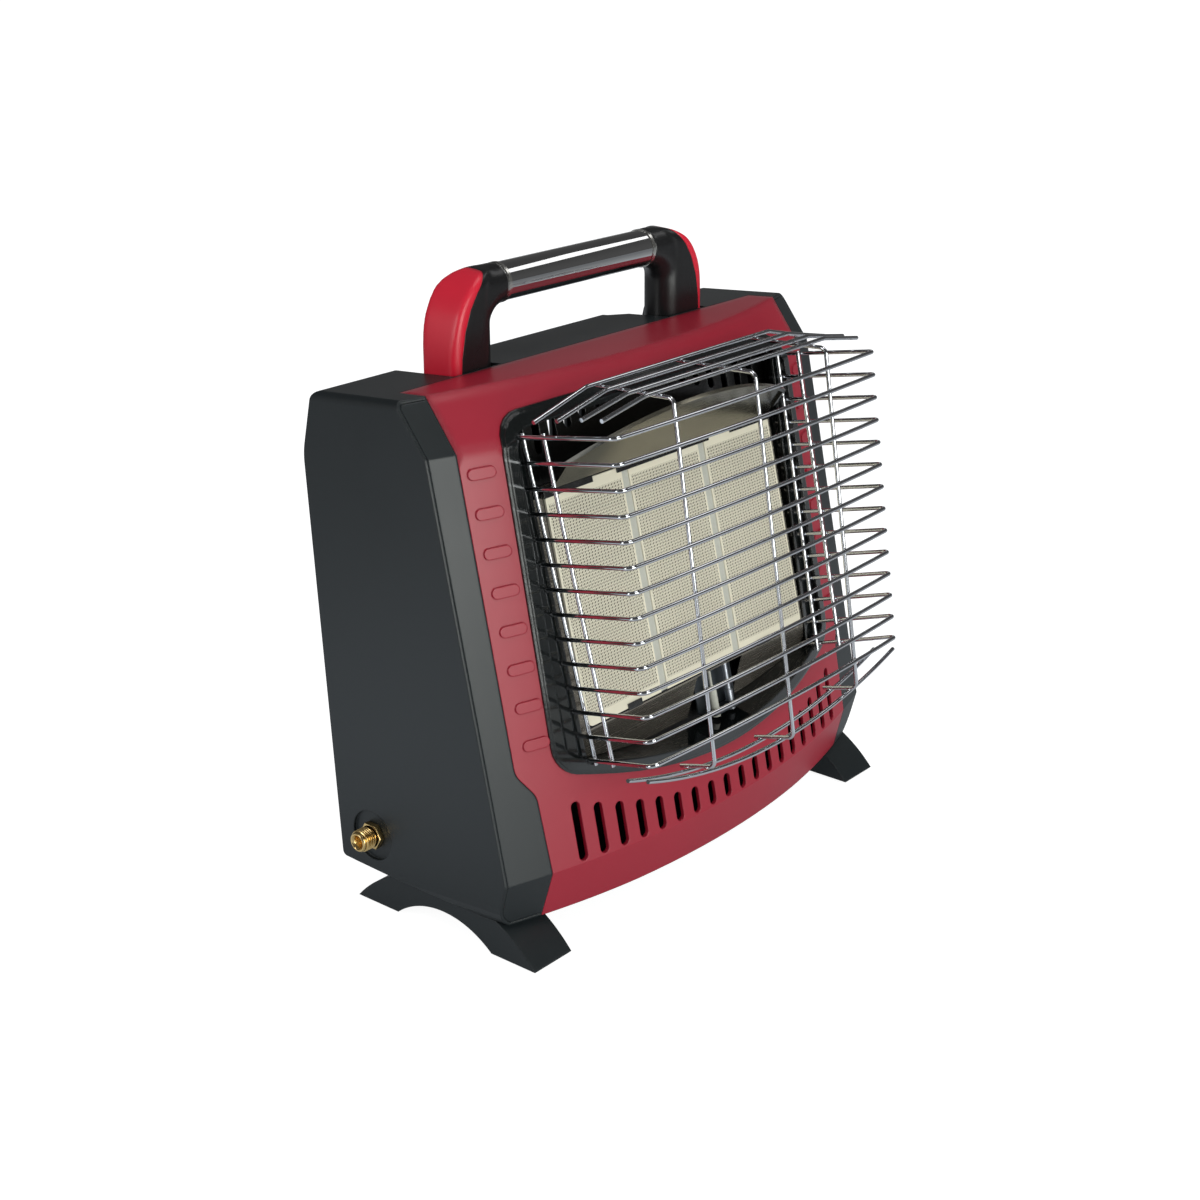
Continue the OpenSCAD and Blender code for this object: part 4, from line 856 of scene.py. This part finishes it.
# The left arm and cap are mirrored copies.
for right_piece, part_name, material, slot_name in (
    (column, "arm", arm_black, "arm_black"), (cap, "cap", cap_crimson, "cap_red"),
):
    bpy.ops.object.select_all(action="DESELECT")
    right_piece.select_set(True)
    bpy.context.view_layer.objects.active = right_piece
    right_piece.data.materials.clear()
    right_piece.data.materials.append(material)
    bpy.ops.object.shade_smooth_by_angle(angle=math.radians(40))
    bpy.ops.object.duplicate()
    left_piece = bpy.context.active_object
    bpy.ops.object.mode_set(mode="EDIT")
    bpy.ops.mesh.select_all(action="SELECT")
    bpy.ops.transform.resize(value=(-1, 1, 1), center_override=(0, 0, 0))
    bpy.ops.mesh.normals_make_consistent(inside=False)
    bpy.ops.object.mode_set(mode="OBJECT")
    for piece, side in ((left_piece, "left"), (right_piece, "right")):
        piece.name = f"moulded_{part_name}_{side}"
        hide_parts(f"handle_{part_name}_{side}")
        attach(piece, "handle")


# ---- Control knob ------------------------------------------------------------
# Round black knob with a grip bar across it, on the right side. It is pressed in
# and turned to open the valve.
knob_black = moulded("knob_black", (0.011, 0.011, 0.012), (0.016, 0.016, 0.018), 0.36, 0.0006)
paint(knob_black, "knob")

# Marks printed round the knob, longer and longer towards full flame, and a white
# pointer let into the knob's rim.
tick_count, tick_step, tick_inner, tick_outer, tick_longer = 9, 22.5, 0.0282, 0.0300, 0.0006
tick_width, tick_thick = 0.0012, 0.0002
pointer_depth, pointer_inner, pointer_outer = 0.0040, 0.0188, 0.0216
pointer_width, pointer_thick = 0.0018, 0.0014
knob_low, knob_high = (Vector(corner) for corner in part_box("knob"))
knob_axis = Vector((knob_low.x, (knob_low.y + knob_high.y) / 2, (knob_low.z + knob_high.z) / 2))
wall_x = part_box("rear_shell")[1].x
white_ink, tree, shader = finish("white_ink", 0.5)
grain = add(tree, "ShaderNodeGroup", -700, 0, node_tree=moulded_grain)
grain.inputs["Scale"].default_value = 2600.0
chalky = mixed(tree, (0.62, 0.62, 0.60), (0.78, 0.78, 0.76), grain.outputs["Height"])
link(tree, chalky, shader.inputs["Base Color"])


def mark(name, x, inner, outer, width, thick, angle):
    """One round-ended bar on the radius at angle, counted from the top; a fifth of it is sunk in."""
    piece = block(
        name, (x - thick * 0.2, knob_axis.y - width / 2, knob_axis.z + inner),
        (x + thick * 0.8, knob_axis.y + width / 2, knob_axis.z + outer),
    )
    select_by(piece, "EDGE", lambda ends: abs(ends[0].x - ends[1].x) > thick * 0.5)
    bpy.ops.mesh.bevel(offset=width * 0.45, segments=4, affect="EDGES")
    bpy.ops.mesh.select_all(action="SELECT")
    bpy.ops.transform.rotate(
        value=angle, orient_axis="X", orient_type="GLOBAL", center_override=(x, knob_axis.y, knob_axis.z),
    )
    bpy.ops.object.mode_set(mode="OBJECT")
    return piece


ticks = []
for k in range(tick_count):
    outer, angle = tick_outer + tick_longer * k, math.radians(tick_step * k)
    ticks.append(mark(f"tick_{k}", wall_x, tick_inner, outer, tick_width, tick_thick, angle))
join(*ticks)
ticks[0].name = "dial_marks"
pointer_x = knob_low.x + pointer_depth
pointer = mark("pointer", pointer_x, pointer_inner, pointer_outer, pointer_width, pointer_thick, 0.0)
for piece, carrier in ((ticks[0], "heater"), (pointer, "control")):
    piece.data.materials.clear()
    piece.data.materials.append(white_ink)
    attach(piece, carrier)


# ---- Feet --------------------------------------------------------------------
# Two arched black feet screwed up into the floor of the shell, on thin rubber
# pads.
paint(black_polypropylene, "foot_left", "foot_right")
rubber = moulded(
    "rubber_pad", (0.010, 0.010, 0.010), (0.016, 0.016, 0.016), 0.75, 0.0004, scale=900.0, depth=0.00005,
)
paint(rubber, "foot_pads")


# ---- Screws ------------------------------------------------------------------
# Zinc-plated cross-head screws that hold the feet and close the housing.
screw_zinc = plated("screw_zinc", (0.62, 0.64, 0.66), 0.28, 500.0)
paint(screw_zinc, "foot_screws", "shell_screws")
